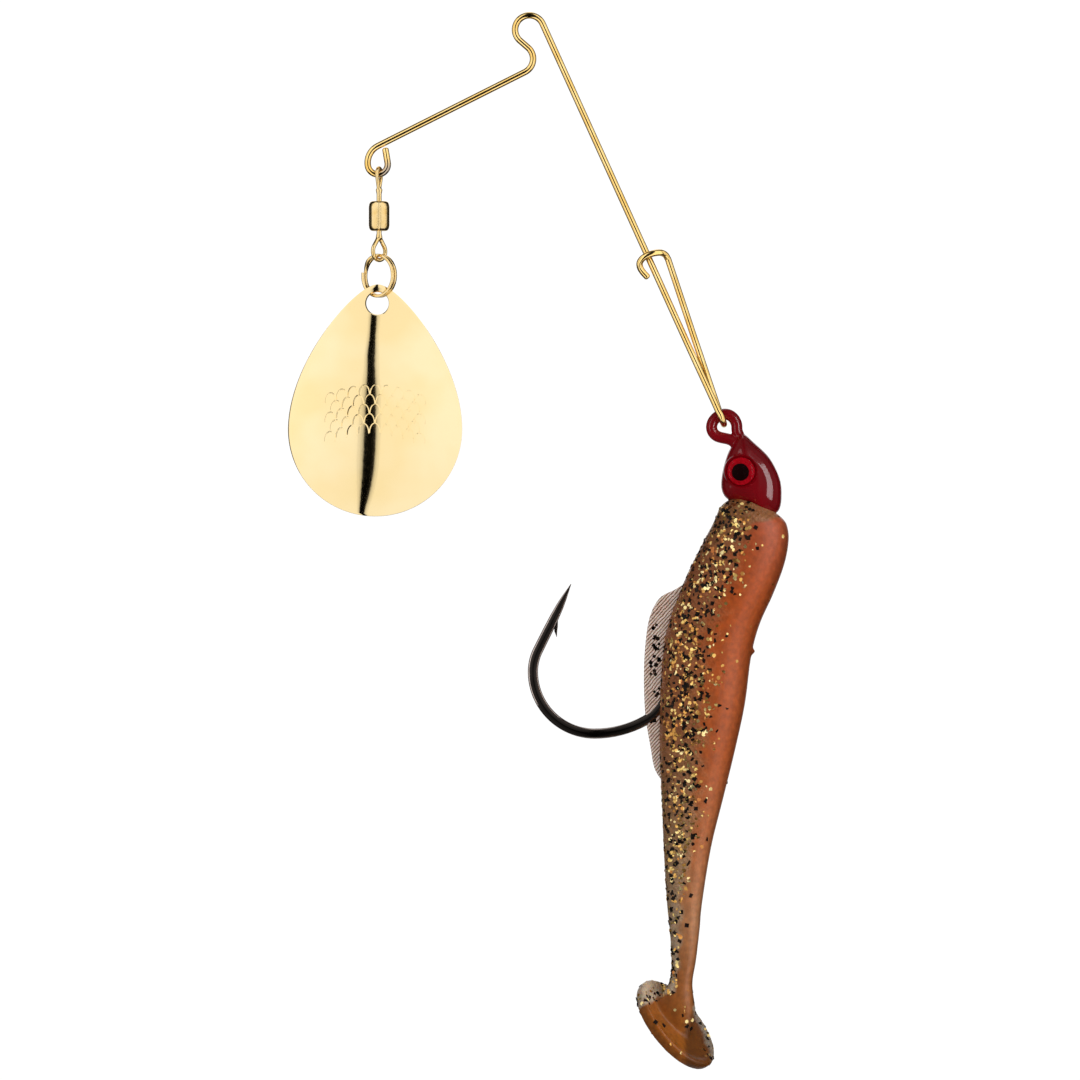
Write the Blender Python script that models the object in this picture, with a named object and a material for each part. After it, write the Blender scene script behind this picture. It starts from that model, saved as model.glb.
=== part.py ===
"""Safety-pin spinner lure with a jig-head minnow: one solid for each piece, in metres, +Z up.

The origin is the centre of the line-tie bend at the top of the wire. The wire lies in the XZ plane,
the blade arm goes to -X, the jig hangs at the end of the long arm on the +X side, and the minnow's
right cheek faces -Y. Lengths below are millimetres until `MM` turns them to metres.
"""
import bpy
import bmesh
from math import asin, ceil, copysign, cos, pi, radians, sin, tan
from mathutils import Matrix, Vector

MM = 0.001

# --- Driving dimensions ------------------------------------------------------------------------
# Spring wire of the arms
WIRE_R = 0.45
TIE_R = 1.95                      # line-tie bend, which is centred on the origin
ARM_LEAN = 24.36                  # long arm from the vertical, degrees
LONG_ARM = 59.35                  # from the line-tie bend to the bottom of the V
CLIP_LEAN = 19.0                  # clip leg from the vertical, degrees
V_R = 1.37                        # the V passes round the jig's eye with this bend radius
V_LEG = 3.2                       # how far up each leg the V keeps its full width
V_CLOSE = 12.0                    # where the two legs come into one plane
SPLIT_GAP = 0.15                  # between the V and the clip leg that flexes from it
BLADE_ARM = [("bend", TIE_R, 139), ("run", 1.43), ("bend", 2.0, -112.3), ("run", 22.2),
             ("bend", 2.54, 73.5), ("bend", 1.35, 179.3), ("run", 1.8)]

# Barrel swivel, split ring and blade, which hang in one line
HANG_X = -20.3
HANG_Z = -19.54                   # centre of the wire at the bottom of the blade loop
EYE_TOP_R, EYE_TOP_WIRE, EYE_TOP_DROP = 0.90, 0.275, 2.41   # drop: from the loop's centre to its neck
EYE_TOP_YAW = 72.0                # the eye is well turned from the front, yet clears its wire
EYE_LOW_R, EYE_LOW_WIRE, EYE_LOW_DROP = 1.20, 0.30, 2.0
BARREL_TOP, BARREL_LOW = -23.11, -27.19
BARREL_R, BARREL_BORE = 1.40, 0.85
BARREL_POWER = 1.3                # superellipse power: 1 is a diamond, 2 is round
END_PLATE = 0.45
STEM_R, STEM_HOLE, STEM_HEAD = 0.36, 0.46, 0.68
STEM_REACH = 1.25                 # how far a stem goes on past the barrel's end plate
RING_TOP_Z = -31.10               # centre of the swivel's lower wire, which the ring hangs on
RING_R, RING_RADIAL, RING_TURN = 2.75, 0.42, 0.42
RING_YAW = -42.0                  # the ring's plane, turned about Z from the XZ plane
RING_CENTRE_Z = -33.20
BLADE_TILT = 1.0                  # degrees about Y
BLADE_R = 11.7                    # the round lower half of the teardrop
BLADE_TOP = 19.6                  # from the round's centre to the top edge
BLADE_SIDE, BLADE_SHOULDER = 9.07, 3.0   # Bezier handles of the teardrop's side
BLADE_CUP, BLADE_WALL = 3.6, 0.42
BOWL_X, BOWL_Z, BOWL_DOWN = 12.6, 14.0, 0.5   # the bowl's half axes and its centre's drop
BLADE_HOLE_R, BLADE_HOLE_UP = 1.6, 17.13
BLADE_HANG = 0.72                 # from the ring wire's centre up to the hole's top edge

# Jig: hook, cast head, eyes and soft minnow
JIG_EYE_R, JIG_EYE_WIRE = 1.70, 0.77
JIG_EYE_DROP = 0.13               # the eye's centre below the wire that it hangs on
HOOK_R = 0.70
SHANK_TOP = (29.9, -63.8)
SHANK_HEADING = 246.25
HOOK_BEND = [("run", 29.09), ("bend", 6.0, -37.25), ("bend", 14.0, -29.0), ("bend", 8.35, -90.0),
             ("bend", 6.5, -26.5), ("run", 10.0)]
HOOK_CLEAR = 0.14
HEAD_HALF = 2.6
CHEEK_EYE = (28.58, -59.62)
SOCKET_R, SOCKET_FLOOR = 2.02, 1.95
FOIL_R, FOIL_WALL, DOME_R, DOME_HEIGHT = 1.88, 0.18, 1.88, 0.62
EYE_GAP = 0.06
COLLAR_R, COLLAR_LONG = 1.45, 5.5
TAIL_Z = -119.1                   # the thin stalk flexes here


# --- Scene and mesh helpers --------------------------------------------------------------------
def clear_scene():
    for obj in list(bpy.data.objects):
        bpy.data.objects.remove(obj, do_unlink=True)


def material(name, color, metallic, roughness):
    mat = bpy.data.materials.new(name)
    mat.use_nodes = True
    shader = mat.node_tree.nodes["Principled BSDF"]
    shader.inputs["Base Color"].default_value = (*color, 1.0)
    shader.inputs["Metallic"].default_value = metallic
    shader.inputs["Roughness"].default_value = roughness
    mat.diffuse_color = (*color, 1.0)
    return mat


def add_object(name, bm, mat, pivot=(0, 0, 0), spin=None):
    """Closes a bmesh drawn in world millimetres into an object whose origin is on its joint."""
    pivot = Vector(pivot)
    bmesh.ops.remove_doubles(bm, verts=bm.verts, dist=1e-4)
    bmesh.ops.recalc_face_normals(bm, faces=bm.faces)
    bmesh.ops.translate(bm, verts=bm.verts, vec=-pivot)
    bmesh.ops.scale(bm, verts=bm.verts, vec=(MM, MM, MM))
    mesh = bpy.data.meshes.new(name)
    bm.to_mesh(mesh)
    bm.free()
    mesh.shade_smooth()
    mesh.set_sharp_from_angle(angle=radians(40))
    obj = bpy.data.objects.new(name, mesh)
    obj.location = pivot * MM
    if spin:
        obj.rotation_euler = spin
    if mat:
        mesh.materials.append(mat)
    bpy.context.scene.collection.objects.link(obj)
    return obj


def boolean(obj, operation, tools):
    """Unites or cuts with other objects, which stay as hidden guides."""
    for tool in tools:
        modifier = obj.modifiers.new(tool.name, "BOOLEAN")
        modifier.operation = operation
        modifier.solver = "EXACT"
        modifier.object = tool
        tool.hide_render = True
        tool.display_type = "WIRE"


def loft(rings, cyclic=False):
    """Joins rings of equal count into a skin, with flat ends unless it closes on itself."""
    bm = bmesh.new()
    loops = [[bm.verts.new(point) for point in ring] for ring in rings]
    count = len(loops[0])
    following = loops[1:] + ([loops[0]] if cyclic else [])
    for low, high in zip(loops, following):
        for i in range(count):
            j = (i + 1) % count
            bm.faces.new((low[i], low[j], high[j], high[i]))
    if not cyclic:
        bm.faces.new(loops[0])
        bm.faces.new(loops[-1])
    return bm


def sweep(points, radii, sides=10, cyclic=False):
    """A round wire along a centre-line, with frames carried along so that it never twists."""
    points = [Vector(point) for point in points]
    last = len(points) - 1
    tangents = []
    for i in range(len(points)):
        before = points[i - 1] if i or cyclic else points[0]
        after = points[(i + 1) % len(points)] if i < last or cyclic else points[last]
        tangents.append((after - before).normalized())
    side = tangents[0].orthogonal().normalized()
    rings = []
    for i, (point, tangent) in enumerate(zip(points, tangents)):
        side = (side - tangent * side.dot(tangent)).normalized()
        up = tangent.cross(side)
        radius = radii[i] if isinstance(radii, list) else radii
        rings.append([point + (side * cos(a) + up * sin(a)) * radius
                      for a in (2 * pi * k / sides for k in range(sides))])
    return loft(rings, cyclic)


def turned(profile, centre, axis=(0, 0, 1), sides=24):
    """A solid of revolution: profile is (radius, height) along the axis, with both ends closed."""
    turn = Vector((0, 0, 1)).rotation_difference(Vector(axis)).to_matrix()
    centre = Vector(centre)
    rings = [[centre + turn @ Vector((r * cos(a), r * sin(a), h))
              for a in (2 * pi * k / sides for k in range(sides))] for r, h in profile]
    return loft(rings)


def bend(start, heading, moves, step=12):
    """Centre-line in the XZ plane from straight runs and bends, as a wire former makes it."""
    x, z = start
    heading = radians(heading)
    points = [Vector((x, 0, z))]
    for move in moves:
        if move[0] == "run":
            x += move[1] * cos(heading)
            z += move[1] * sin(heading)
            points.append(Vector((x, 0, z)))
            continue
        radius, turn = copysign(move[1], move[2]), radians(move[2])
        centre_x, centre_z = x - radius * sin(heading), z + radius * cos(heading)
        steps = ceil(abs(move[2]) / step)
        for _ in range(steps):
            heading += turn / steps
            x, z = centre_x + radius * sin(heading), centre_z - radius * cos(heading)
            points.append(Vector((x, 0, z)))
    return points


def smooth(points, cuts=4, cyclic=False):
    """A Catmull-Rom curve through the points."""
    points = [Vector(point) for point in points]
    count = len(points)
    spans = count if cyclic else count - 1
    curve = []
    for i in range(spans):
        if cyclic:
            a, b, c, d = (points[(i + k) % count] for k in (-1, 0, 1, 2))
        else:
            b, c = points[i], points[i + 1]
            a = points[i - 1] if i else b * 2 - c
            d = points[i + 2] if i + 2 < count else c * 2 - b
        for k in range(cuts):
            t = k / cuts
            curve.append(0.5 * (2 * b + (c - a) * t + (2 * a - 5 * b + 4 * c - d) * t ** 2
                                + (3 * b - a - 3 * c + d) * t ** 3))
    if not cyclic:
        curve.append(points[-1])
    return curve


# --- Where the long arm and the V are ------------------------------------------------------------
ARM_UP = Vector((-sin(radians(ARM_LEAN)), 0, cos(radians(ARM_LEAN))))
CLIP_UP = Vector((-sin(radians(CLIP_LEAN)), 0, cos(radians(CLIP_LEAN))))
TIE_SIDE = Vector((cos(radians(ARM_LEAN)), 0, sin(radians(ARM_LEAN)))) * TIE_R
V_BOTTOM = TIE_SIDE - ARM_UP * LONG_ARM
ACROSS = Vector((0, 1, 0))
CLIP_ROOT = V_BOTTOM + CLIP_UP * (V_LEG + SPLIT_GAP) + ACROSS * V_R
JIG_EYE = V_BOTTOM - ARM_UP * JIG_EYE_DROP
HANG = Vector((HANG_X, 0, HANG_Z))
RING_HANG = Vector((HANG_X, 0, RING_TOP_Z))
BLADE_PIVOT = Vector((HANG_X, 0, RING_CENTRE_Z - RING_R))
TAIL_PIVOT = Vector((20.9, 0, TAIL_Z))


# --- Wire arms -----------------------------------------------------------------------------------
def arm_wire(mat):
    v_up = (ARM_UP + CLIP_UP).normalized()
    v_turn = [V_BOTTOM + v_up * V_R * (1 - cos(a)) + ACROSS * V_R * sin(a)
              for a in (radians(90 - 15 * k) for k in range(13))]
    back_leg = V_BOTTOM + CLIP_UP * V_LEG + ACROSS * V_R
    front_leg = V_BOTTOM + ARM_UP * V_LEG - ACROSS * V_R
    in_plane = V_BOTTOM + ARM_UP * V_CLOSE
    tie_right = bend((0, TIE_R), 0, [("bend", TIE_R, ARM_LEAN - 90)])[:0:-1]
    blade_arm = bend((0, TIE_R), 180, BLADE_ARM)
    return add_object("arm_wire", sweep([back_leg, *v_turn, front_leg, in_plane, *tie_right, *blade_arm],
                                        WIRE_R), mat)


def clip_leg(mat):
    """The free leg of the V, whose hooked end snaps round the front of the long arm."""
    hook = [(18.70, 0.0, -30.94), (18.31, -0.34, -30.38), (17.62, -0.80, -30.12), (16.50, -1.06, -30.28),
            (15.46, -1.04, -30.74), (14.90, -0.72, -31.40), (14.93, -0.40, -32.10),
            (15.32, -0.26, -32.74), (15.90, -0.20, -33.37)]
    in_plane = V_BOTTOM + CLIP_UP * V_CLOSE
    tapered_root = CLIP_ROOT + (in_plane - CLIP_ROOT).normalized() * 0.2
    path = [CLIP_ROOT, tapered_root, in_plane, *smooth(hook, 3)]
    radii = [WIRE_R * 0.5] + [WIRE_R] * (len(path) - 1)
    return add_object("clip_leg", sweep(path, radii), mat, CLIP_ROOT)


# --- Swivel, ring and blade ----------------------------------------------------------------------
def swivel_eye(name, mat, loop_centre, loop_r, wire_r, drop, yaw, down, stem_end, pivot):
    """A pear-shaped wire eye on a stem, with the head that holds it inside the barrel."""
    half = asin(loop_r / drop)
    flat = Vector((cos(radians(yaw)), sin(radians(yaw)), 0))
    way = Vector((0, 0, -1 if down else 1))
    sweep_angle = pi + 2 * half
    centre = Vector(loop_centre)
    arc = []
    for k in range(17):
        angle = sweep_angle * k / 16 - half
        arc.append(centre + flat * loop_r * cos(angle) - way * loop_r * sin(angle))
    reach = wire_r + 0.02
    gap = reach / tan(half)
    meet = centre + way * (drop - gap)
    path = [meet + flat * reach, *arc, meet - flat * reach]
    loop = add_object(name, sweep(path, wire_r, 8), mat, pivot)
    neck = drop - gap - 0.15
    start_z = centre.z + way.z * neck
    long = abs(stem_end - start_z)
    flare = reach + wire_r + 0.04
    profile = [(0.25, 0), (flare, 0.15), (flare, 0.3), (STEM_R, 0.95), (STEM_R, long - 1.1),
               (STEM_HEAD, long - 1.0), (STEM_HEAD, long - 0.25), (STEM_HEAD * 0.6, long)]
    stem = add_object(name + "_stem", turned(profile, (centre.x, centre.y, start_z), way, 16), None, pivot)
    boolean(loop, "UNION", [stem])
    return loop


def swivel_barrel(mat):
    """A hollow barrel with an edge to the front and a round hole in each end for the stems."""
    centre_z = (BARREL_TOP + BARREL_LOW) / 2
    half = (BARREL_TOP - BARREL_LOW) / 2
    inside = half - END_PLATE
    count = 24

    def outer(scale, z):
        ring = []
        for k in range(count):
            angle = 2 * pi * k / count
            c, s = cos(angle), sin(angle)
            reach = (abs(c) ** BARREL_POWER + abs(s) ** BARREL_POWER) ** (-1 / BARREL_POWER)
            ring.append(Vector((HANG_X + BARREL_R * scale * reach * c,
                                BARREL_R * scale * reach * s, centre_z + z)))
        return ring

    def inner(radius, z):
        return [Vector((HANG_X + radius * cos(2 * pi * k / count), radius * sin(2 * pi * k / count),
                        centre_z + z)) for k in range(count)]

    rings = [inner(STEM_HOLE, -half), outer(0.66, -half), outer(0.90, -half + 0.3),
             outer(1.0, -half + 0.85), outer(1.0, half - 0.85), outer(0.90, half - 0.3),
             outer(0.66, half), inner(STEM_HOLE, half),
             inner(STEM_HOLE, inside), inner(BARREL_BORE, inside - 0.12), inner(BARREL_BORE, 0.12 - inside),
             inner(STEM_HOLE, -inside)]
    return add_object("swivel_barrel", loft(rings, cyclic=True), mat, (HANG_X, 0, centre_z))


def split_ring(mat):
    """Two flat turns of strip, with one jog where the first turn crosses to the second."""
    along = Vector((cos(radians(RING_YAW)), sin(radians(RING_YAW)), 0))
    axial = Vector((-along.y, along.x, 0))
    centre = Vector((HANG_X, 0, RING_CENTRE_Z))
    half_turn, half_strip, chamfer = (RING_TURN + 0.04) / 2, RING_RADIAL / 2, 0.1
    wide = RING_TURN / 2
    profile = [(half_strip, wide - chamfer), (half_strip - chamfer, wide), (chamfer - half_strip, wide),
               (-half_strip, wide - chamfer), (-half_strip, chamfer - wide), (chamfer - half_strip, -wide),
               (half_strip - chamfer, -wide), (half_strip, chamfer - wide)]
    rings = []
    jog_start, jog_end, first, last = 337, 383, 25, 695
    step = 10
    for k in range((last - first) // step + 1):
        turn = first + k * step
        blend = min(max((turn - jog_start) / (jog_end - jog_start), 0), 1)
        shift = half_turn * (2 * blend * blend * (3 - 2 * blend) - 1)
        angle = radians(turn + 150)
        out = along * cos(angle) + Vector((0, 0, sin(angle)))
        rings.append([centre + out * (RING_R + u) + axial * (v + shift) for u, v in profile])
    return add_object("split_ring", loft(rings), mat, RING_HANG)


def blade_outline():
    """Half circle below, and one Bezier curve up each side to the top, anticlockwise from -X."""
    low = [(-BLADE_R * cos(a), -BLADE_R * sin(a)) for a in (pi * k / 20 for k in range(21))]
    side = []
    for k in range(1, 11):
        t = k / 10
        side.append((BLADE_R * ((1 - t) ** 3 + 3 * (1 - t) ** 2 * t)
                     + 3 * BLADE_SHOULDER * (1 - t) * t ** 2,
                     3 * BLADE_SIDE * (1 - t) ** 2 * t + BLADE_TOP * (3 * (1 - t) * t ** 2 + t ** 3)))
    mirror = [(-x, z) for x, z in side[-2::-1]]
    return low + side + mirror


def blade(mat):
    """A teardrop cupped away from the front, flat round its hole, drawn about the hanging point."""
    centre_z = BLADE_HANG - BLADE_HOLE_R - BLADE_HOLE_UP
    outline = blade_outline()

    def cup(x, z):
        bowl = 1 - (x / BOWL_X) ** 2 - ((z + BOWL_DOWN) / BOWL_Z) ** 2
        return -BLADE_CUP * (max(bowl, 0) ** 1.5 if bowl < 0.25 else bowl - 0.125)

    bm = bmesh.new()
    rings = []
    levels = 7
    for level in range(1, levels + 1):
        scale = (level / levels) ** 0.8
        rings.append([bm.verts.new((x * scale, cup(x * scale, z * scale), z * scale + centre_z))
                      for x, z in outline])
    count = len(outline)
    middle = bm.verts.new((0, cup(0, 0), centre_z))
    for i in range(count):
        bm.faces.new((rings[0][i], rings[0][(i + 1) % count], middle))
    for low, high in zip(rings, rings[1:]):
        for i in range(count):
            j = (i + 1) % count
            bm.faces.new((low[i], low[j], high[j], high[i]))
    hole = turned([(BLADE_HOLE_R, -4), (BLADE_HOLE_R, 4)], (0, 0, BLADE_HANG - BLADE_HOLE_R),
                  (0, 1, 0), 32)
    lean = Matrix.Rotation(radians(BLADE_TILT), 4, "Y")
    for part in (bm, hole):
        bmesh.ops.transform(part, matrix=Matrix.Translation(BLADE_PIVOT) @ lean, verts=part.verts)
    plate = add_object("blade", bm, mat, BLADE_PIVOT)
    wall = plate.modifiers.new("wall", "SOLIDIFY")
    wall.thickness = BLADE_WALL * MM
    wall.offset = 0
    boolean(plate, "DIFFERENCE", [add_object("blade_hole", hole, None, BLADE_PIVOT)])
    return plate


# --- Jig -----------------------------------------------------------------------------------------
def hook_path():
    """Centre-line from the neck under the eye, through the head and the minnow, to the point."""
    neck = [(27.62, -54.80), (28.40, -55.70), (29.55, -57.20), (30.30, -59.40), (30.36, -61.80)]
    head = smooth([*((x, 0, z) for x, z in neck), (SHANK_TOP[0], 0, SHANK_TOP[1])], 3)
    return head + bend(SHANK_TOP, SHANK_HEADING, HOOK_BEND, 10)[1:]


def jig_hook(mat):
    path = hook_path()
    spear = path.pop()
    root = path[-1]
    taper = ((0.5, 0.92), (0.66, 0.76), (0.82, 0.46), (1.0, 0.08))
    radii = [HOOK_R] * len(path) + [HOOK_R * scale for _, scale in taper]
    path += [root.lerp(spear, t) for t, _ in taper]
    hook = add_object("jig_hook", sweep(path, radii, 12), mat, V_BOTTOM)
    loop = [JIG_EYE + Vector((JIG_EYE_R * cos(a), 0, JIG_EYE_R * sin(a)))
            for a in (2 * pi * k / 32 for k in range(32))]
    eye = add_object("jig_hook_eye", sweep(loop, JIG_EYE_WIRE, 12, cyclic=True), None, V_BOTTOM)
    along = (spear - root).normalized()
    out = Vector((along.z, 0, -along.x))
    foot = root.lerp(spear, 0.40) + out * 0.35
    barb = [foot + along * 0.9, foot - along * 0.5, foot - along * 1.4 + out * 1.1, foot + out * 0.42]
    bm = loft([[point + ACROSS * y for point in barb] for y in (-0.3, 0.3)])
    boolean(hook, "UNION", [eye, add_object("jig_hook_barb", bm, None, V_BOTTOM)])
    return hook


def hook_channel(name):
    """The space that the hook's shank takes through the head and the minnow."""
    return add_object(name, sweep(hook_path()[:-1], HOOK_R + HOOK_CLEAR, 12), None, V_BOTTOM)


def shank_along():
    return Vector((cos(radians(SHANK_HEADING)), 0, sin(radians(SHANK_HEADING))))


def jig_head(mat):
    """Cast head with a flat base, a collar that holds the bait, and a round socket in each cheek."""
    outline = [(28.55, -54.45), (30.40, -55.80), (32.45, -57.85), (33.80, -60.60), (34.05, -63.00),
               (33.70, -65.00), (32.60, -65.45), (30.60, -64.80), (28.60, -64.10), (26.85, -63.35),
               (26.10, -62.00), (26.15, -60.00), (26.75, -57.80), (27.50, -56.15)]
    edge = smooth([(x, 0, z) for x, z in outline], 2, cyclic=True)
    middle = Vector((29.9, 0, -60.4))
    levels = [(0.70, -1.0), (0.90, -0.86), (0.97, -0.6), (1.0, -0.25), (1.0, 0.25), (0.97, 0.6),
              (0.90, 0.86), (0.70, 1.0)]
    rings = [[middle + (point - middle) * scale + ACROSS * HEAD_HALF * y for point in edge]
             for scale, y in levels]
    head = add_object("jig_head", loft(rings), mat, V_BOTTOM)
    eye = Vector((CHEEK_EYE[0], 0, CHEEK_EYE[1]))
    rim = turned([(2.05, -2.62), (2.3, -2.45), (2.3, 2.45), (2.05, 2.62)], eye, (0, 1, 0), 32)
    along = shank_along()
    top = Vector((SHANK_TOP[0], 0, SHANK_TOP[1]))
    collar = [(1.1, -1.5), (COLLAR_R, 0.3), (COLLAR_R, 1.6), (COLLAR_R + 0.45, 1.9), (COLLAR_R - 0.05, 3.4),
              (COLLAR_R + 0.4, 3.7), (COLLAR_R - 0.3, COLLAR_LONG)]
    boolean(head, "UNION", [add_object("jig_head_cheeks", rim, None, V_BOTTOM),
                            add_object("jig_head_collar", turned(collar, top, along, 20), None, V_BOTTOM)])
    sockets = [add_object(f"jig_head_socket_{side}",
                          turned([(SOCKET_R, SOCKET_FLOOR), (SOCKET_R, 4)], eye, (0, sign, 0), 32), None,
                          V_BOTTOM) for side, sign in (("left", 1), ("right", -1))]
    boolean(head, "DIFFERENCE", [*sockets, hook_channel("jig_head_channel")])
    return head


def jig_eyes(foil_mat, dome_mat):
    """A foil disc and a clear domed lens, one pair in each cheek."""
    for side, sign in (("right", -1), ("left", 1)):
        floor = SOCKET_FLOOR + EYE_GAP
        centre = (CHEEK_EYE[0], sign * floor, CHEEK_EYE[1])
        foil = turned([(FOIL_R, 0), (FOIL_R, FOIL_WALL)], centre, (0, sign, 0), 28)
        add_object(f"eye_foil_{side}", foil, foil_mat, V_BOTTOM)
        base = floor + FOIL_WALL + EYE_GAP
        profile = [(DOME_R, 0)]
        for k in range(5):
            angle = radians(80 * k / 4)
            profile.append((DOME_R * cos(angle), 0.1 + DOME_HEIGHT * sin(angle)))
        dome = turned(profile, (CHEEK_EYE[0], sign * base, CHEEK_EYE[1]), (0, sign, 0), 28)
        add_object(f"eye_dome_{side}", dome, dome_mat, V_BOTTOM)


# Back edge, belly edge and half thickness of the soft body, from the head down to the stalk
BODY_STATIONS = [
    ((26.3, -64.15), (34.0, -66.15), 3.3), ((25.6, -64.55), (34.7, -66.70), 4.0),
    ((24.6, -67.00), (35.0, -69.00), 4.4), ((22.5, -71.00), (34.4, -72.20), 4.6),
    ((20.4, -75.60), (32.9, -76.20), 4.6), ((18.7, -80.20), (31.1, -80.20), 4.5),
    ((17.95, -84.5), (29.95, -84.5), 4.4), ((17.55, -91.0), (29.1, -91.0), 4.2),
    ((17.55, -97.5), (27.7, -97.5), 3.8), ((17.85, -104.0), (26.1, -104.0), 3.2),
    ((18.1, -110.5), (24.5, -110.5), 2.5)]
STALK_STATIONS = [
    ((18.9, -121.3), (23.0, -121.3), 1.7), ((19.15, -125.6), (22.5, -125.6), 1.5),
    ((19.0, -128.6), (22.1, -128.2), 1.5), ((18.3, -131.8), (22.2, -130.6), 1.8),
    ((18.3, -134.9), (21.5, -133.6), 2.0)]


def flesh(stations, sides=20):
    """Rings for a soft body: rounded sections that span from the back edge to the belly edge."""
    rings = []
    for back, belly, half in stations:
        back, belly = Vector((back[0], 0, back[1])), Vector((belly[0], 0, belly[1]))
        middle, reach = (back + belly) / 2, (belly - back) / 2
        rings.append([middle + reach * cos(a) + ACROSS * half * sin(a)
                      for a in (2 * pi * k / sides for k in range(sides))])
    return rings


def rounded_end(station, steps, direction):
    """Stations that close a soft body with a dome, which lets the stalk flex past its neighbour."""
    back, belly, half = station
    middle_x, reach = (back[0] + belly[0]) / 2, (belly[0] - back[0]) / 2
    return [((middle_x - reach * k, back[1] + direction * rise),
             (middle_x + reach * k, belly[1] + direction * rise), half * k) for k, rise in steps]


END_DOME = [(0.85, 0.75), (0.55, 1.25), (0.2, 1.42)]


def minnow_body(mat):
    """The front of the soft minnow with its back fin, and the channel that the hook takes."""
    rear = ((18.4, TAIL_Z + 1.6), (23.4, TAIL_Z + 1.6), 2.0)
    stations = BODY_STATIONS + [rear] + rounded_end(rear, END_DOME, -1)
    body = add_object("minnow_body", loft(flesh(stations)), mat, V_BOTTOM)
    fin = [(21.5, -75.8), (17.3, -77.0), (16.2, -79.6), (15.6, -83.5), (15.45, -88.0), (15.65, -92.5),
           (16.3, -96.6), (17.0, -100.0), (18.6, -101.5), (20.5, -99.0), (20.5, -80.0)]
    fin_rings = [[Vector((x, y, z)) for x, z in fin] for y in (-0.5, 0.5)]
    plate = add_object("minnow_fin", loft(fin_rings), None, V_BOTTOM)
    along = shank_along()
    top = Vector((SHANK_TOP[0], 0, SHANK_TOP[1]))
    clear = COLLAR_R + 0.65
    collar_room = turned([(clear, -3.0), (clear, COLLAR_LONG + 0.3)], top, along, 16)
    boolean(body, "UNION", [plate])
    boolean(body, "DIFFERENCE", [add_object("minnow_collar_room", collar_room, None, V_BOTTOM),
                                 hook_channel("minnow_hook_channel")])
    return body


def minnow_tail(mat):
    """The stalk behind the flexing point, and the paddle that it carries."""
    front = ((18.5, TAIL_Z - 1.6), (23.25, TAIL_Z - 1.6), 1.9)
    stations = rounded_end(front, END_DOME, 1)[::-1] + [front] + STALK_STATIONS
    tail = add_object("minnow_tail", loft(flesh(stations, 16)), mat, TAIL_PIVOT)
    long = Vector((0.64, 0, -0.768))
    face = Vector((0.768 * cos(radians(30)), -sin(radians(30)), 0.64 * cos(radians(30)))).normalized()
    wide = face.cross(long).normalized()
    centre = Vector((19.65, 0, -134.35))
    rings = []
    for scale, rise in ((0.80, -0.95), (0.96, -0.75), (1.0, -0.2), (1.0, 0.5), (0.95, 0.9), (0.85, 0.75),
                        (0.6, 0.45)):
        rings.append([centre + long * 7.0 * scale * cos(a) + wide * 5.5 * scale * sin(a) + face * rise
                      for a in (2 * pi * k / 28 for k in range(28))])
    boolean(tail, "UNION", [add_object("minnow_paddle", loft(rings), None, TAIL_PIVOT)])
    return tail


def main():
    clear_scene()
    gold_wire = material("gold_wire", (0.72, 0.47, 0.13), 1.0, 0.25)
    gold_plate = material("gold_plate", (0.85, 0.62, 0.25), 1.0, 0.1)
    black_nickel = material("black_nickel", (0.035, 0.03, 0.028), 1.0, 0.25)
    red_paint = material("red_paint", (0.22, 0.008, 0.012), 0.0, 0.2)
    red_foil = material("red_foil", (0.45, 0.005, 0.008), 0.8, 0.3)
    clear_resin = material("clear_resin", (0.9, 0.9, 0.9), 0.0, 0.05)
    soft_plastic = material("soft_plastic", (0.36, 0.1, 0.03), 0.0, 0.35)
    arm_wire(gold_wire)
    clip_leg(gold_wire)
    swivel_eye("swivel_top_eye", gold_plate, HANG, EYE_TOP_R, EYE_TOP_WIRE, EYE_TOP_DROP, EYE_TOP_YAW,
               True, BARREL_TOP - END_PLATE - STEM_REACH, HANG)
    swivel_barrel(gold_plate)
    low_eye = (HANG_X, 0, RING_TOP_Z + EYE_LOW_R)
    swivel_eye("swivel_bottom_eye", gold_plate, low_eye, EYE_LOW_R, EYE_LOW_WIRE, EYE_LOW_DROP,
               RING_YAW + 90, False, BARREL_LOW + END_PLATE + STEM_REACH, low_eye)
    split_ring(gold_plate)
    blade(gold_plate)
    jig_hook(black_nickel)
    jig_head(red_paint)
    jig_eyes(red_foil, clear_resin)
    minnow_body(soft_plastic)
    minnow_tail(soft_plastic)


main()
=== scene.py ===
# %% [markdown]
# # A safety-pin spinner lure with a jig minnow
# The lure is a bent gold wire that carries a swivelled blade on one arm and a red jig head with a
# soft paddle-tail minnow on the other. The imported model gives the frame: its bodies, their joints
# and every position. This lesson models the visible pieces over it, one small step at a time.

# %% Load the frame
import random
from math import asin, atan2, ceil, copysign, cos, degrees, pi, radians, sin, sqrt, tan

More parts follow.
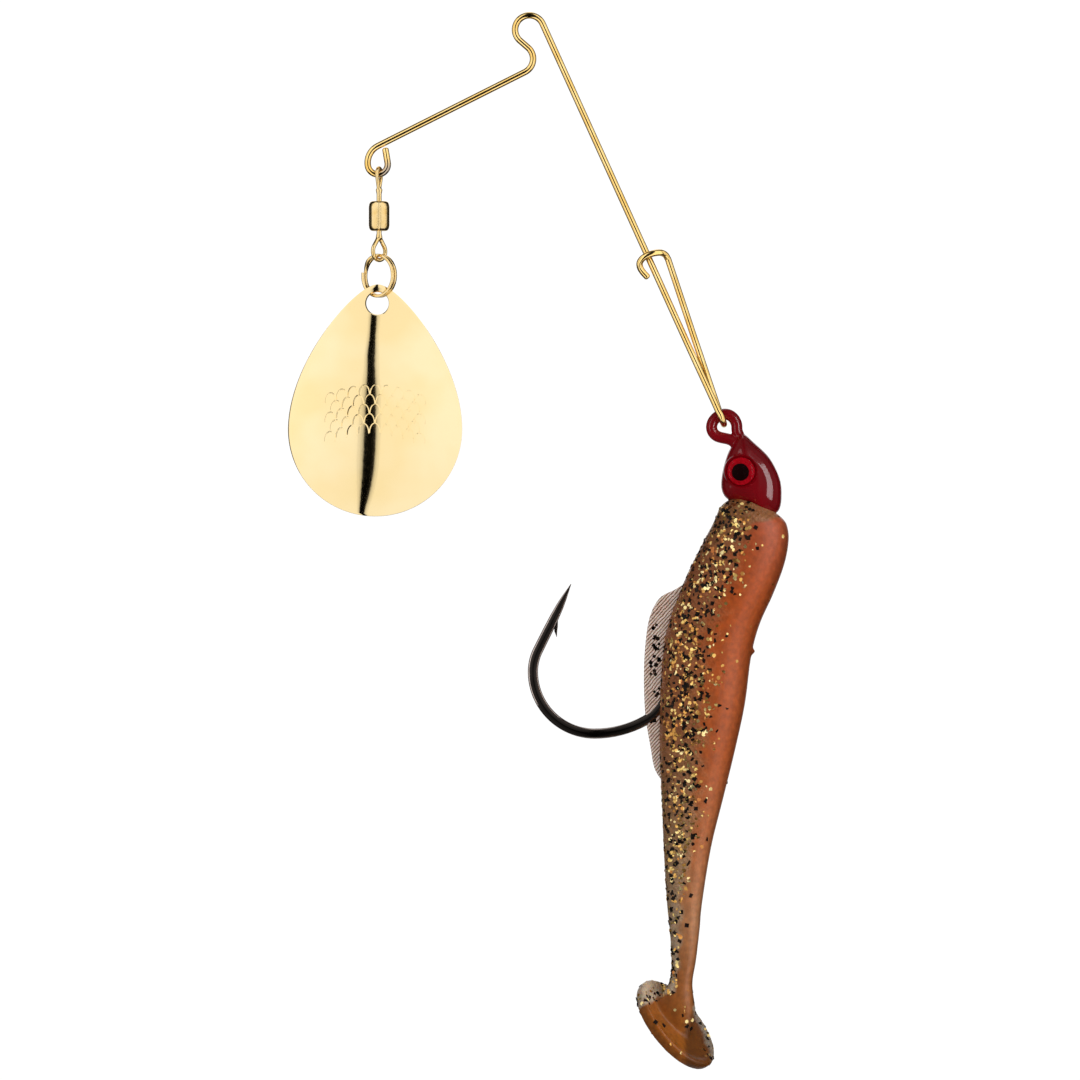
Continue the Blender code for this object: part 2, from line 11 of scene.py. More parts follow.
import bmesh
import bpy
from mathutils import Matrix, Vector
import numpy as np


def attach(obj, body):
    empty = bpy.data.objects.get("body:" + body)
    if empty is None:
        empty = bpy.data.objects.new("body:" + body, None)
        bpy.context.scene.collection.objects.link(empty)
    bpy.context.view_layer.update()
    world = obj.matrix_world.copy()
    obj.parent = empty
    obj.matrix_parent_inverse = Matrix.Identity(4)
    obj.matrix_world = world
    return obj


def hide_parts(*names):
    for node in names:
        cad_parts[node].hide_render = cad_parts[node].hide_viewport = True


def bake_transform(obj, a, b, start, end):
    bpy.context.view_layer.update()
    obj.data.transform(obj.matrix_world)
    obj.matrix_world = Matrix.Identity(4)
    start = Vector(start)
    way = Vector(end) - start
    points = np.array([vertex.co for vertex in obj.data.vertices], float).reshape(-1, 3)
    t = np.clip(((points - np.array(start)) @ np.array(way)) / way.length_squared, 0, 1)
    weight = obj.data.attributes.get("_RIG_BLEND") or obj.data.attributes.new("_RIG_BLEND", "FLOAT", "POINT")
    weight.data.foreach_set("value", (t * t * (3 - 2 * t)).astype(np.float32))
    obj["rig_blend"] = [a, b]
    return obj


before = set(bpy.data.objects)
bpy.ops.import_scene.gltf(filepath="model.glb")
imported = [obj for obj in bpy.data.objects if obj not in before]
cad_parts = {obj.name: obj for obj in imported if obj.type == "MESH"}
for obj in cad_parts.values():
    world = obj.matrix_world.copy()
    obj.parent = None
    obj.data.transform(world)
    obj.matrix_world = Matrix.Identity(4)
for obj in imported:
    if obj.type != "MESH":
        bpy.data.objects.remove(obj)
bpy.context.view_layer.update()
MM = 0.001

# %% [markdown]
# ## Camera
# The lure is seen square from its side, from far enough away that nothing converges. A
# long lens nearly a metre off gives that, and the view spans about one and a half decimetres.

# %% Camera
DISTANCE = 0.9
FRAME_WIDE = 0.1458
VIEW_CENTRE = Vector((0.00142, 0, -0.06888))

camera = bpy.data.objects.new("camera", bpy.data.cameras.new("camera"))
bpy.context.scene.collection.objects.link(camera)
camera.location = VIEW_CENTRE - Vector((0, DISTANCE, 0))
camera.rotation_euler = (pi / 2, 0, 0)
camera.data.sensor_width = 36.0
camera.data.lens = 36.0 * DISTANCE / FRAME_WIDE
camera.data.clip_start, camera.data.clip_end = 0.01, 50.0
bpy.context.scene.camera = camera
bpy.context.scene.view_settings.view_transform = "Standard"
print(f"lens {camera.data.lens:.0f} mm")


# %% [markdown]
# ## One helper for nodes
# Every material and the studio are built from nodes, so one small function adds a node, sets what
# it is told to, and links its inputs.

# %% Node helper
def add(tree, kind, inputs=None, stops=None, **settings):
    """Adds a node: inputs are values or other nodes' outputs, and stops fill a colour ramp."""
    node = tree.nodes.new(kind)
    for name, value in settings.items():
        setattr(node, name, value)
    for socket, value in (inputs or {}).items():
        if isinstance(value, bpy.types.NodeSocket):
            tree.links.new(value, node.inputs[socket])
        else:
            node.inputs[socket].default_value = value
    if stops:
        ramp = node.color_ramp
        while len(ramp.elements) < len(stops):
            ramp.elements.new(0.5)
        for element, (place, value) in zip(ramp.elements, stops):
            element.position = place
            element.color = value if isinstance(value, tuple) else (value, value, value, 1.0)
    return node


def linear(code):
    """An sRGB hex colour as linear red, green, blue and alpha."""
    channels = [int(code[i:i + 2], 16) / 255 for i in (0, 2, 4)]
    return tuple(c / 12.92 if c <= 0.04045 else ((c + 0.055) / 1.055) ** 2.4
                 for c in channels) + (1.0,)


# %% [markdown]
# ## Studio
# Polished metal shows nothing but the room round it, so the room matters more than the metal. A
# product studio for lures is a white backdrop, two tall bright panels at the sides and dark gaps
# between them. The gaps draw the thin dark lines that make wire look round and hard. The room is
# a world shader that reads the direction of each ray.

# %% Studio room
world = bpy.data.worlds.new("studio")
bpy.context.scene.world = world
world.use_nodes = True
room = world.node_tree
room.nodes.clear()
way = add(room, "ShaderNodeSeparateXYZ",
          {"Vector": add(room, "ShaderNodeTexCoord").outputs["Generated"]})
depth = add(room, "ShaderNodeMath", {0: way.outputs["Y"], 1: -1.0}, operation="MULTIPLY")
azimuth = add(room, "ShaderNodeMath", {0: way.outputs["X"], 1: depth.outputs[0]},
              operation="ARCTAN2")
turn = add(room, "ShaderNodeMath", {0: azimuth.outputs[0]}, operation="ABSOLUTE")
share = add(room, "ShaderNodeMath", {0: turn.outputs[0], 1: pi}, operation="DIVIDE")
walls = add(room, "ShaderNodeValToRGB", {"Fac": share.outputs[0]}, stops=[
    (0.0, 0.004), (2.8 / 180, 0.004), (6 / 180, 0.05), (60 / 180, 0.14), (100 / 180, 0.22),
    (108 / 180, 0.02), (150 / 180, 0.02), (158 / 180, 1.0)])
height = add(room, "ShaderNodeMapRange", {"Value": way.outputs["Z"], "From Min": -1.0})
ceiling = add(room, "ShaderNodeValToRGB", {"Fac": height.outputs[0]}, stops=[
    (0.0, 0.35), (0.35, 0.55), (0.6, 1.0), (1.0, 1.0)])
strength = add(room, "ShaderNodeMix", {"Factor": 1.0}, data_type="RGBA", blend_type="MULTIPLY")
# Sockets of a Mix node share their names between its modes, so its colours go by number.
room.links.new(walls.outputs["Color"], strength.inputs[6])
room.links.new(ceiling.outputs["Color"], strength.inputs[7])
lit = add(room, "ShaderNodeBackground", {"Color": strength.outputs[2], "Strength": 1.0})
backdrop = add(room, "ShaderNodeBackground", {"Color": (1, 1, 1, 1), "Strength": 1.05})
seen = add(room, "ShaderNodeMixShader", {0: add(room, "ShaderNodeLightPath").outputs[0],
                                         1: lit.outputs[0], 2: backdrop.outputs[0]})
add(room, "ShaderNodeOutputWorld", {"Surface": seen.outputs[0]})

# %% [markdown]
# Two soft boxes beside the camera light the matt surfaces, and each shiny finish has panels of its
# own: tall ones at the sides for the minnow, wings for the gold fittings, a slim strip on each side
# for the head, and one behind each side for the hook. Cards stand in front of the gold only. The
# gap between them draws the dark line down polished gold, and the dimmer strips at the gap's edge
# soften it on the blade. The pale floor lies well below the lure.

# %% Soft boxes, panels, cards and floor
# Which pieces a light falls on
lit_sets = {kind: bpy.data.collections.new(kind + "_set")
            for kind in ("blade", "gold", "head", "hook", "left", "right")}


def soft_box(name, where, size, radiance, matt=True, gloss=True, only=None, aim=VIEW_CENTRE):
    """An area light of a given brightness that faces the lure, for all pieces or for one set."""
    light = bpy.data.lights.new(name, "AREA")
    light.shape = "RECTANGLE"
    light.size, light.size_y = size
    light.energy = radiance * pi * size[0] * size[1]
    lamp = bpy.data.objects.new(name, light)
    bpy.context.scene.collection.objects.link(lamp)
    lamp.location = where
    lamp.rotation_euler = (aim - lamp.location).to_track_quat("-Z", "Y").to_euler()
    lamp.visible_camera = False
    lamp.visible_diffuse, lamp.visible_glossy = matt, gloss
    if only:
        lamp.light_linking.receiver_collection = only
    return lamp


CARD_Y = -0.6                     # in front of the lure, well inside the camera's distance
# Each card: which pieces it lights, how far from the middle it starts and ends, and its radiance
CARDS = (("blade", 0.030, 0.037, 0.45), ("blade", 0.037, 0.046, 0.70), ("blade", 0.046, 0.060, 0.86),
         ("blade", 0.060, 2.0, 1.0), ("gold", 0.200, 0.85, 1.4))
for name, side in (("left", -1), ("right", 1)):
    soft_box(f"box_{name}", (side * 0.45, -0.75, 0.25), (0.5, 0.6), 1.3, gloss=False)
    soft_box(f"panel_{name}", (side * 0.56, -0.33, VIEW_CENTRE.z + 0.1), (0.42, 1.1), 2.0,
             only=lit_sets[name])
    soft_box(f"wing_{name}", (side * 0.62, -0.12, VIEW_CENTRE.z + 0.1), (0.42, 1.1), 0.9,
             matt=False, only=lit_sets["gold"])
    soft_box(f"strip_{name}", (side * 0.48, -0.54, VIEW_CENTRE.z + 0.08), (0.26, 0.55),
             7.5 if side > 0 else 2.0, matt=False, only=lit_sets["head"])
    soft_box(f"edge_{name}", (side * 0.62, 0.14, VIEW_CENTRE.z + 0.1), (0.3, 1.1), 2.4,
             matt=False, only=lit_sets["hook"])
    for kind, near_x, far_x, radiance in CARDS:
        middle = side * (near_x + far_x) / 2
        soft_box(f"card_{kind}_{name}", (middle, CARD_Y, VIEW_CENTRE.z), (far_x - near_x, 2.8),
                 radiance, matt=False, only=lit_sets[kind], aim=Vector((middle, 0, VIEW_CENTRE.z)))

floor_bm = bmesh.new()
bmesh.ops.create_grid(floor_bm, x_segments=1, y_segments=1, size=0.6,
                      matrix=Matrix.Translation((0, 0, -0.2)))
floor = bpy.data.objects.new("floor", bpy.data.meshes.new("floor"))
floor_bm.to_mesh(floor.data)
floor_bm.free()
bpy.context.scene.collection.objects.link(floor)
floor.visible_glossy = False      # the cards, and not the floor, are what the gold should show
floor_paper = bpy.data.materials.new("pale_paper")
floor_paper.use_nodes = True
paper = floor_paper.node_tree.nodes["Principled BSDF"].inputs
paper["Base Color"].default_value = linear("F2F1EE")
paper["Roughness"].default_value = 0.9
floor.data.materials.append(floor_paper)


# %% [markdown]
# ## Finishes
# Each finish starts from what the real one is. `finish` makes a Principled material and hands
# back its position in millimetres, so a pattern's scale below is a real size.

# %% Finish helper
def finish(name, **values):
    """A Principled material, its tree, its shader, and the place on the object in millimetres."""
    mat = bpy.data.materials.new(name)
    mat.use_nodes = True
    tree = mat.node_tree
    shader = tree.nodes["Principled BSDF"]
    for socket, value in values.items():
        shader.inputs[socket.replace("_", " ")].default_value = value
    place = add(tree, "ShaderNodeMapping",
                {"Vector": add(tree, "ShaderNodeTexCoord").outputs["Object"],
                 "Scale": (1 / MM, 1 / MM, 1 / MM)})
    return mat, tree, shader, place.outputs["Vector"]


def tinted(tree, place, scale, detail, *stops):
    """A colour that drifts between shades over the surface."""
    tone = add(tree, "ShaderNodeTexNoise", {"Vector": place, "Scale": scale, "Detail": detail})
    return add(tree, "ShaderNodeValToRGB", {"Fac": tone.outputs["Fac"]},
               stops=[(at, linear(code)) for at, code in stops]).outputs["Color"]


def rubbed(tree, shader, place, scale, detail, low, high):
    """Roughness that wanders between two values; the noise comes back for use in a bump."""
    grain = add(tree, "ShaderNodeTexNoise", {"Vector": place, "Scale": scale, "Detail": detail})
    rub = add(tree, "ShaderNodeMapRange", {"Value": grain.outputs["Fac"], "To Min": low,
                                           "To Max": high})
    tree.links.new(rub.outputs[0], shader.inputs["Roughness"])
    return grain.outputs["Fac"]


def multiplied(tree, first, second):
    """Two colours multiplied."""
    mix = add(tree, "ShaderNodeMix", {"Factor": 1.0}, data_type="RGBA", blend_type="MULTIPLY")
    tree.links.new(first, mix.inputs[6])
    tree.links.new(second, mix.inputs[7])
    return mix.outputs[2]


def bump(tree, shader, *layers):
    """Stacks bump layers: each is (height output, depth in metres, strength)."""
    normal = None
    for height_output, far, much in layers:
        inputs = {"Height": height_output, "Distance": far, "Strength": much}
        if normal:
            inputs["Normal"] = normal
        normal = add(tree, "ShaderNodeBump", inputs).outputs["Normal"]
    tree.links.new(normal, shader.inputs["Normal"])
    return normal


# %% [markdown]
# ### Gold-plated spring wire and gold-plated brass
# The arms are stainless spring wire under a thin electroplated gold, drawn through a die, which
# leaves faint lengthwise marks. The plating has rubbed to grey where the swivel works in its loop.
# The blade is stamped brass, plated brighter and flatter than the wire.

# %% Gold
gold_wire, tree, shader, place = finish("gold_plated_wire", Metallic=1.0, Roughness=0.1)
tint = tinted(tree, place, 0.35, 3.0, (0.3, "ECC06A"), (0.7, "FADC98"))
loop_place = add(tree, "ShaderNodeVectorMath", {0: place, 1: (-18.6, 0.0, -19.6)},
                 operation="DISTANCE")
worn = add(tree, "ShaderNodeMapRange", {"Value": loop_place.outputs["Value"], "From Min": 1.1,
                                        "From Max": 2.4, "To Min": 0.85, "To Max": 0.0})
plated = add(tree, "ShaderNodeMix", {"Factor": worn.outputs[0]}, data_type="RGBA")
tree.links.new(tint, plated.inputs[6])
plated.inputs[7].default_value = linear("A59A92")
tree.links.new(plated.outputs[2], shader.inputs["Base Color"])
marks = rubbed(tree, shader, place, 6.0, 4.0, 0.05, 0.15)
bump(tree, shader, (marks, 0.00001, 0.12))

gold_plate, tree, shader, place = finish("gold_plated_brass", Metallic=1.0, Roughness=0.05)
tint = tinted(tree, place, 0.12, 2.0, (0.35, "FAE0A6"), (0.65, "FDE8B8"))
tree.links.new(tint, shader.inputs["Base Color"])
haze = rubbed(tree, shader, place, 1.7, 5.0, 0.02, 0.07)
swell = add(tree, "ShaderNodeTexNoise", {"Vector": place, "Scale": 0.22, "Detail": 1.0})
bump(tree, shader, (swell.outputs["Fac"], 0.00006, 0.3), (haze, 0.000003, 0.3))

gold_fitting, tree, shader, place = finish("gold_plated_fitting", Metallic=1.0, Roughness=0.12)
tint = tinted(tree, place, 0.9, 3.0, (0.3, "F0CA80"), (0.7, "FBE0A8"))
tree.links.new(tint, shader.inputs["Base Color"])
grain = rubbed(tree, shader, place, 8.0, 4.0, 0.05, 0.15)
bump(tree, shader, (grain, 0.00001, 0.15))

# %% [markdown]
# ### Black nickel, red enamel and eye foil
# The hook is high-carbon steel with a smoked, nearly black nickel plate. The head is lead dipped
# in gloss enamel, thick enough to round every corner. Each eye is a stamped disc of red foil with
# a printed pupil under a clear resin dome.

# %% Hook, head and eye finishes
black_nickel, tree, shader, place = finish("black_nickel_plate", Metallic=1.0, Roughness=0.12)
tint = tinted(tree, place, 0.6, 3.0, (0.3, "7E736E"), (0.7, "92867F"))
tree.links.new(tint, shader.inputs["Base Color"])
draw = rubbed(tree, shader, place, 7.0, 4.0, 0.07, 0.17)
bump(tree, shader, (draw, 0.00001, 0.3))

red_enamel, tree, shader, place = finish("red_gloss_enamel", Roughness=0.35, Coat_Weight=0.6,
                                         Coat_Roughness=0.09, Specular_IOR_Level=0.1)
tint = tinted(tree, place, 0.25, 2.0, (0.3, "9A0414"), (0.7, "B6081C"))
tree.links.new(tint, shader.inputs["Base Color"])
orange_peel = add(tree, "ShaderNodeTexNoise", {"Vector": place, "Scale": 0.8, "Detail": 1.0})
bump(tree, shader, (orange_peel.outputs["Fac"], 0.00008, 0.35))

red_foil, tree, shader, place = finish("red_eye_foil", Roughness=0.5, Specular_IOR_Level=0.1)
tint = tinted(tree, place, 3.0, 4.0, (0.35, "D00418"), (0.65, "F20A26"))
tree.links.new(tint, shader.inputs["Base Color"])

pupil_ink, tree, shader, place = finish("black_pupil_ink", Roughness=0.6,
                                        Specular_IOR_Level=0.05,
                                        Base_Color=linear("060505"))
grain = add(tree, "ShaderNodeTexNoise", {"Vector": place, "Scale": 12.0})
bump(tree, shader, (grain.outputs["Fac"], 0.000005, 0.2))

clear_resin, tree, shader, place = finish("clear_dome_resin", Roughness=0.03, Alpha=0.16,
                                          Base_Color=linear("300408"))
swell = add(tree, "ShaderNodeTexNoise", {"Vector": place, "Scale": 0.7})
bump(tree, shader, (swell.outputs["Fac"], 0.00002, 0.3))


# %% [markdown]
# ## Modelling helpers
# Most of this lure is wire, and a wire is a circle drawn along a bent centre-line. `bend` lays a
# centre-line as a wire former does, from straight runs and bends. `along` seats a circle square
# to every point of it, and `pulled` extrudes a face from each seat to the next.

# %% Centre-lines
def bend(start, heading, moves, step=5):
    """Centre-line in the XZ plane from straight runs and bends, as a wire former makes it."""
    x, z = start
    heading = radians(heading)
    points = [Vector((x, 0, z))]
    for move in moves:
        if move[0] == "run":
            x += move[1] * cos(heading)
            z += move[1] * sin(heading)
            points.append(Vector((x, 0, z)))
            continue
        radius, turn_by = copysign(move[1], move[2]), radians(move[2])
        centre_x, centre_z = x - radius * sin(heading), z + radius * cos(heading)
        steps = ceil(abs(move[2]) / step)
        for _ in range(steps):
            heading += turn_by / steps
            x, z = centre_x + radius * sin(heading), centre_z - radius * cos(heading)
            points.append(Vector((x, 0, z)))
    return points


def smooth(points, cuts=6, cyclic=False):
    """A Catmull-Rom curve through the points."""
    points = [Vector(point) for point in points]
    count = len(points)
    curve = []
    for i in range(count if cyclic else count - 1):
        if cyclic:
            a, b, c, d = (points[(i + k) % count] for k in (-1, 0, 1, 2))
        else:
            b, c = points[i], points[i + 1]
            a = points[i - 1] if i else b * 2 - c
            d = points[i + 2] if i + 2 < count else c * 2 - b
        for k in range(cuts):
            t = k / cuts
            curve.append(0.5 * (2 * b + (c - a) * t + (2 * a - 5 * b + 4 * c - d) * t ** 2
                                + (3 * b - a - 3 * c + d) * t ** 3))
    if not cyclic:
        curve.append(points[-1])
    return curve


def flat(points):
    """(x, z) pairs as points in the lure's own plane."""
    return [Vector((x, 0, z)) for x, z in points]


# %% Drawing a section along a line
def seat(point, side, up, scale=(1, 1, 1)):
    """A matrix that puts a flat section at a point, its own X along side and its Y along up."""
    turn_to = Matrix((side, up, side.cross(up))).transposed().to_4x4()
    return Matrix.Translation(point) @ turn_to @ Matrix.Diagonal((*scale, 1))


def along(path, radii):
    """Seats for a circle along a path, carried on without twist."""
    seats, side = [], None
    for i, point in enumerate(path):
        ahead = (path[min(i + 1, len(path) - 1)] - path[max(i - 1, 0)]).normalized()
        side = (side or ahead.orthogonal()).normalized()
        side = (side - ahead * side.dot(ahead)).normalized()
        radius = radii[i] if isinstance(radii, list) else radii
        seats.append(seat(point, side, ahead.cross(side), (radius, radius, radius)))
    return seats


def pulled(bm, seats):
    """Extrudes the bmesh's only face from seat to seat."""
    face = bm.faces[:][0]
    for low, high in zip(seats, seats[1:]):
        made = bmesh.ops.extrude_face_region(bm, geom=[face, *face.edges])["geom"]
        face = next(item for item in made if isinstance(item, bmesh.types.BMFace))
        bmesh.ops.transform(bm, matrix=high @ low.inverted(), verts=face.verts)
    return bm


ROUND_END = ((0.4, 0.55), (0.75, 0.4), (0.93, 0.2))   # scale and reach of an end's rings


def rod(path, radii, sides=20, ends="both"):
    """A round wire along a path, with its ends rounded off."""
    seats = along([Vector(point) for point in path], radii)
    if ends in ("both", "first"):
        seats = [seats[0] @ Matrix.Translation((0, 0, -far)) @ Matrix.Diagonal((k, k, 1, 1))
                 for k, far in ROUND_END] + seats
    if ends in ("both", "last"):
        seats = seats + [seats[-1] @ Matrix.Translation((0, 0, far))
                         @ Matrix.Diagonal((k, k, 1, 1)) for k, far in ROUND_END[::-1]]
    bm = bmesh.new()
    bmesh.ops.create_circle(bm, cap_ends=True, segments=sides, radius=1, matrix=seats[0])
    return pulled(bm, seats)


# %% [markdown]
# A finished piece is merged, its normals are turned outwards, it is scaled from millimetres to
# metres, and it is told which body it rides on. `fused` unites overlapping shells into one skin
# with a voxel remesh, which is how poured enamel or moulded plastic flows over a joint.

# %% Finishing pieces
def joined(*parts):
    """Several bmeshes as one."""
    whole = bmesh.new()
    for part in parts:
        mesh = bpy.data.meshes.new("part")
        part.to_mesh(mesh)
        part.free()
        whole.from_mesh(mesh)
        bpy.data.meshes.remove(mesh)
    return whole


def shaped(bm, *steps):
    """Runs modifiers, each (kind, settings), over a bmesh and gives back the result."""
    mesh = bpy.data.meshes.new("work")
    bmesh.ops.recalc_face_normals(bm, faces=bm.faces)
    bm.to_mesh(mesh)
    bm.free()
    work = bpy.data.objects.new("work", mesh)
    bpy.context.scene.collection.objects.link(work)
    for kind, settings in steps:
        modifier = work.modifiers.new(kind, kind)
        for name, value in settings.items():
            setattr(modifier, name, value)
    result = work.evaluated_get(bpy.context.evaluated_depsgraph_get()).to_mesh()
    out = bmesh.new()
    out.from_mesh(result)
    bpy.data.objects.remove(work)
    bpy.data.meshes.remove(mesh)
    return out


def fused(bm, voxel, passes=4):
    """One skin over overlapping shells, smoothed a little."""
    return shaped(bm, ("REMESH", {"mode": "VOXEL", "voxel_size": voxel, "adaptivity": 0.0}),
                  ("SMOOTH", {"factor": 0.5, "iterations": passes}))


GOLD = ("gold",)                  # the lights that fall on gold fittings


def piece(name, bm, mat, body, replaces=(), sharp=40.0, lights=("left", "right")):
    """Turns a bmesh drawn in millimetres into a finished piece; body may be a pair to blend."""
    bmesh.ops.remove_doubles(bm, verts=bm.verts, dist=1e-4)
    bmesh.ops.recalc_face_normals(bm, faces=bm.faces)
    bmesh.ops.scale(bm, vec=(MM, MM, MM), verts=bm.verts)
    open_edges = sum(1 for edge in bm.edges if len(edge.link_faces) != 2)
    mesh = bpy.data.meshes.new(name)
    bm.to_mesh(mesh)
    bm.free()
    mesh.shade_smooth()
    mesh.set_sharp_from_angle(angle=radians(sharp))
    mesh.materials.append(mat)
    obj = bpy.data.objects.new(name, mesh)
    bpy.context.scene.collection.objects.link(obj)
    if isinstance(body, str):
        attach(obj, body)
    else:
        first, second, start, end = body
        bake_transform(obj, first, second, start=Vector(start) * MM, end=Vector(end) * MM)
    if replaces:
        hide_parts(*replaces)
    for kind in lights:
        lit_sets[kind].objects.link(obj)
    triangles = sum(len(p.vertices) - 2 for p in mesh.polygons)
    print(f"{name}: {triangles} triangles, {open_edges} open edges")
    return obj


# %% [markdown]
# ## The wire
# One length of 0.9 mm spring wire makes both arms: the blade arm with its closed loop, the small
# open bend where the line is tied, the long arm, and the V at the bottom that holds the jig. Its
# free leg comes back up and hooks round the long arm, so the V opens like a safety pin.

# %% Arm and clip centre-lines
WIRE_R = 0.45
TIE_R = 1.95
ARM_LEAN, CLIP_LEAN = radians(24.36), radians(19.0)
LONG_ARM = 59.35
V_R, V_LEG, V_CLOSE = 1.37, 3.2, 12.0
BLADE_ARM = [("bend", TIE_R, 139), ("run", 1.43), ("bend", 2.0, -112.3), ("run", 22.2),
             ("bend", 2.54, 73.5), ("bend", 1.35, 179.3), ("run", 1.8)]

arm_up = Vector((-sin(ARM_LEAN), 0, cos(ARM_LEAN)))
clip_up = Vector((-sin(CLIP_LEAN), 0, cos(CLIP_LEAN)))
v_bottom = Vector((cos(ARM_LEAN), 0, sin(ARM_LEAN))) * TIE_R - arm_up * LONG_ARM
across = Vector((0, 1, 0))
v_up = (arm_up + clip_up).normalized()


def closing_leg(up, side):
    """A leg of the V from its full width until it lies in the lure's plane, eased both ends."""
    leg = []
    for k in range(13):
        t = k / 12
        ease = t * t * (3 - 2 * t)
        far = V_LEG * 0.6 + (V_CLOSE - V_LEG * 0.6) * t
        leg.append(v_bottom + up * far + across * side * V_R * (1 - ease))
    return leg


v_turn = [v_bottom + v_up * V_R * (1 - cos(a)) + across * V_R * sin(a)
          for a in (radians(90 - 6 * k) for k in range(31))]
tie_right = bend((0, TIE_R), 0, [("bend", TIE_R, degrees(ARM_LEAN) - 90)])[:0:-1]
arm_path = [*v_turn, *closing_leg(arm_up, -1), *tie_right, *bend((0, TIE_R), 180, BLADE_ARM)]
hook_end = [(18.70, 0.0, -30.94), (18.31, -0.34, -30.38), (17.62, -0.80, -30.12),
            (16.50, -1.06, -30.28), (15.46, -1.04, -30.74), (14.90, -0.72, -31.40),
            (14.93, -0.40, -32.10), (15.32, -0.26, -32.74), (15.90, -0.20, -33.37)]
clip_path = [v_turn[0], *closing_leg(clip_up, 1), *smooth(hook_end, 5)]

piece("arm_wire_bent", rod(arm_path, WIRE_R, 20, "last"), gold_wire, "arm",
      ["arm_wire"], lights=GOLD)
piece("clip_leg_wire", rod(clip_path, WIRE_R, 20, "last"), gold_wire,
      ("arm", "clip", v_bottom + clip_up * 2.4, v_bottom + clip_up * 6.0), ["clip_leg"], lights=GOLD)

# %% [markdown]
# ## Swivel
# A barrel swivel has two wire eyes whose stems end in heads inside a hollow swaged barrel. The
# barrel is four-sided with soft edges, one of them to the front. Each eye is a pear-shaped loop
# whose two legs flow into the stem, so loop and stem are fused into one skin.

# %% Swivel eyes
HANG = Vector((-20.3, 0, -19.54))
BARREL_TOP, BARREL_LOW = -23.11, -27.19
RING_TOP_Z = -31.10
RING_YAW = radians(-42.0)


def turned(profile, centre):
    """A solid of revolution about an upright axis, spun from a (radius, height) profile."""
    bm = bmesh.new()
    verts = [bm.verts.new((radius, 0, level)) for radius, level in profile]
    edges = [bm.edges.new(pair) for pair in zip(verts, verts[1:])]
    bmesh.ops.spin(bm, geom=verts + edges, cent=(0, 0, 0), axis=(0, 0, 1), dvec=(0, 0, 0),
                   angle=2 * pi, steps=24, use_merge=True, use_duplicate=False)
    bmesh.ops.remove_doubles(bm, verts=bm.verts, dist=1e-5)
    bmesh.ops.recalc_face_normals(bm, faces=bm.faces)
    bmesh.ops.translate(bm, vec=centre, verts=bm.verts)
    return bm


def swivel_eye(centre, loop_r, wire_r, yaw, down, drop, stem_end):
    """A pear-shaped wire loop that runs into an upright stem."""
    half = asin(loop_r / drop)
    level = Vector((cos(yaw), sin(yaw), 0))
    way_to = Vector((0, 0, -1 if down else 1))
    sweep = pi + 2 * half
    arc = [centre + level * loop_r * cos(a) - way_to * loop_r * sin(a)
           for a in (sweep * k / 30 - half for k in range(31))]
    reach = wire_r * 0.75
    meet = centre + way_to * (drop - reach / tan(half))
    legs = [meet + level * reach, *arc, meet - level * reach]
    stem_z = meet.z + way_to.z * 0.05
    long = abs(stem_end - stem_z)
    profile = [(0, -0.25), (0.3, -0.2), (0.46, 0.05), (0.42, 0.35), (0.35, 0.6), (0.35, long),
               (0, long)]
    stem = turned([(r, way_to.z * h) for r, h in profile], Vector((centre.x, centre.y, stem_z)))
    return fused(joined(rod(legs, wire_r, 12), stem), 0.055, 3)


piece("swivel_eye_upper", swivel_eye(HANG, 0.90, 0.255, radians(72), True, 2.41, -24.2),
      gold_fitting, "top_eye", ["swivel_top_eye"], lights=GOLD)
low_eye = Vector((HANG.x, 0, RING_TOP_Z + 1.20))
piece("swivel_eye_lower", swivel_eye(low_eye, 1.20, 0.30, RING_YAW + pi / 2, False, 2.0, -26.1),
      gold_fitting, "bottom_eye", ["swivel_bottom_eye"], lights=GOLD)

# %% Swivel barrel
BARREL_R = 1.40
BARREL_POWER = 1.3                # 1 is a diamond and 2 is round
BARREL_STEPS = [(0.45, 0.0), (0.66, 0.02), (0.80, 0.10), (0.90, 0.25), (0.96, 0.45),
                (1.0, 0.80)]      # scale of the section and its distance from the end

barrel_middle = (BARREL_TOP + BARREL_LOW) / 2
barrel_half = (BARREL_TOP - BARREL_LOW) / 2
levels = [(k, far - barrel_half) for k, far in BARREL_STEPS]
levels += [(k, -level) for k, level in levels[::-1]]
barrel = bmesh.new()
seats = [Matrix.Translation((0, 0, level)) @ Matrix.Diagonal((k, k, 1, 1)) for k, level in levels]
bmesh.ops.create_circle(barrel, cap_ends=True, segments=48, radius=BARREL_R, matrix=seats[0])
pulled(barrel, seats)
for vert in barrel.verts:
    angle = atan2(vert.co.y, vert.co.x)
    reach = (abs(cos(angle)) ** BARREL_POWER + abs(sin(angle)) ** BARREL_POWER) ** (-1 / BARREL_POWER)
    vert.co.x, vert.co.y = vert.co.x * reach, vert.co.y * reach
bmesh.ops.translate(barrel, vec=(HANG.x, 0, barrel_middle), verts=barrel.verts)
piece("swivel_barrel_body", barrel, gold_fitting, "barrel", ["swivel_barrel"],
      sharp=50, lights=GOLD)

# %% [markdown]
# ## Split ring
# The ring that joins swivel and blade is two flat turns of strip, pressed together, with one jog
# where the first turn steps over to the second. A small square with rounded corners is drawn
# along that line.

# %% Split ring
RING_R, STRIP = 2.75, 0.44
RING_CENTRE = Vector((HANG.x, 0, -33.20))
TURN_FROM, TURN_TO, JOG_FROM, JOG_TO = 20, 735, 337, 383

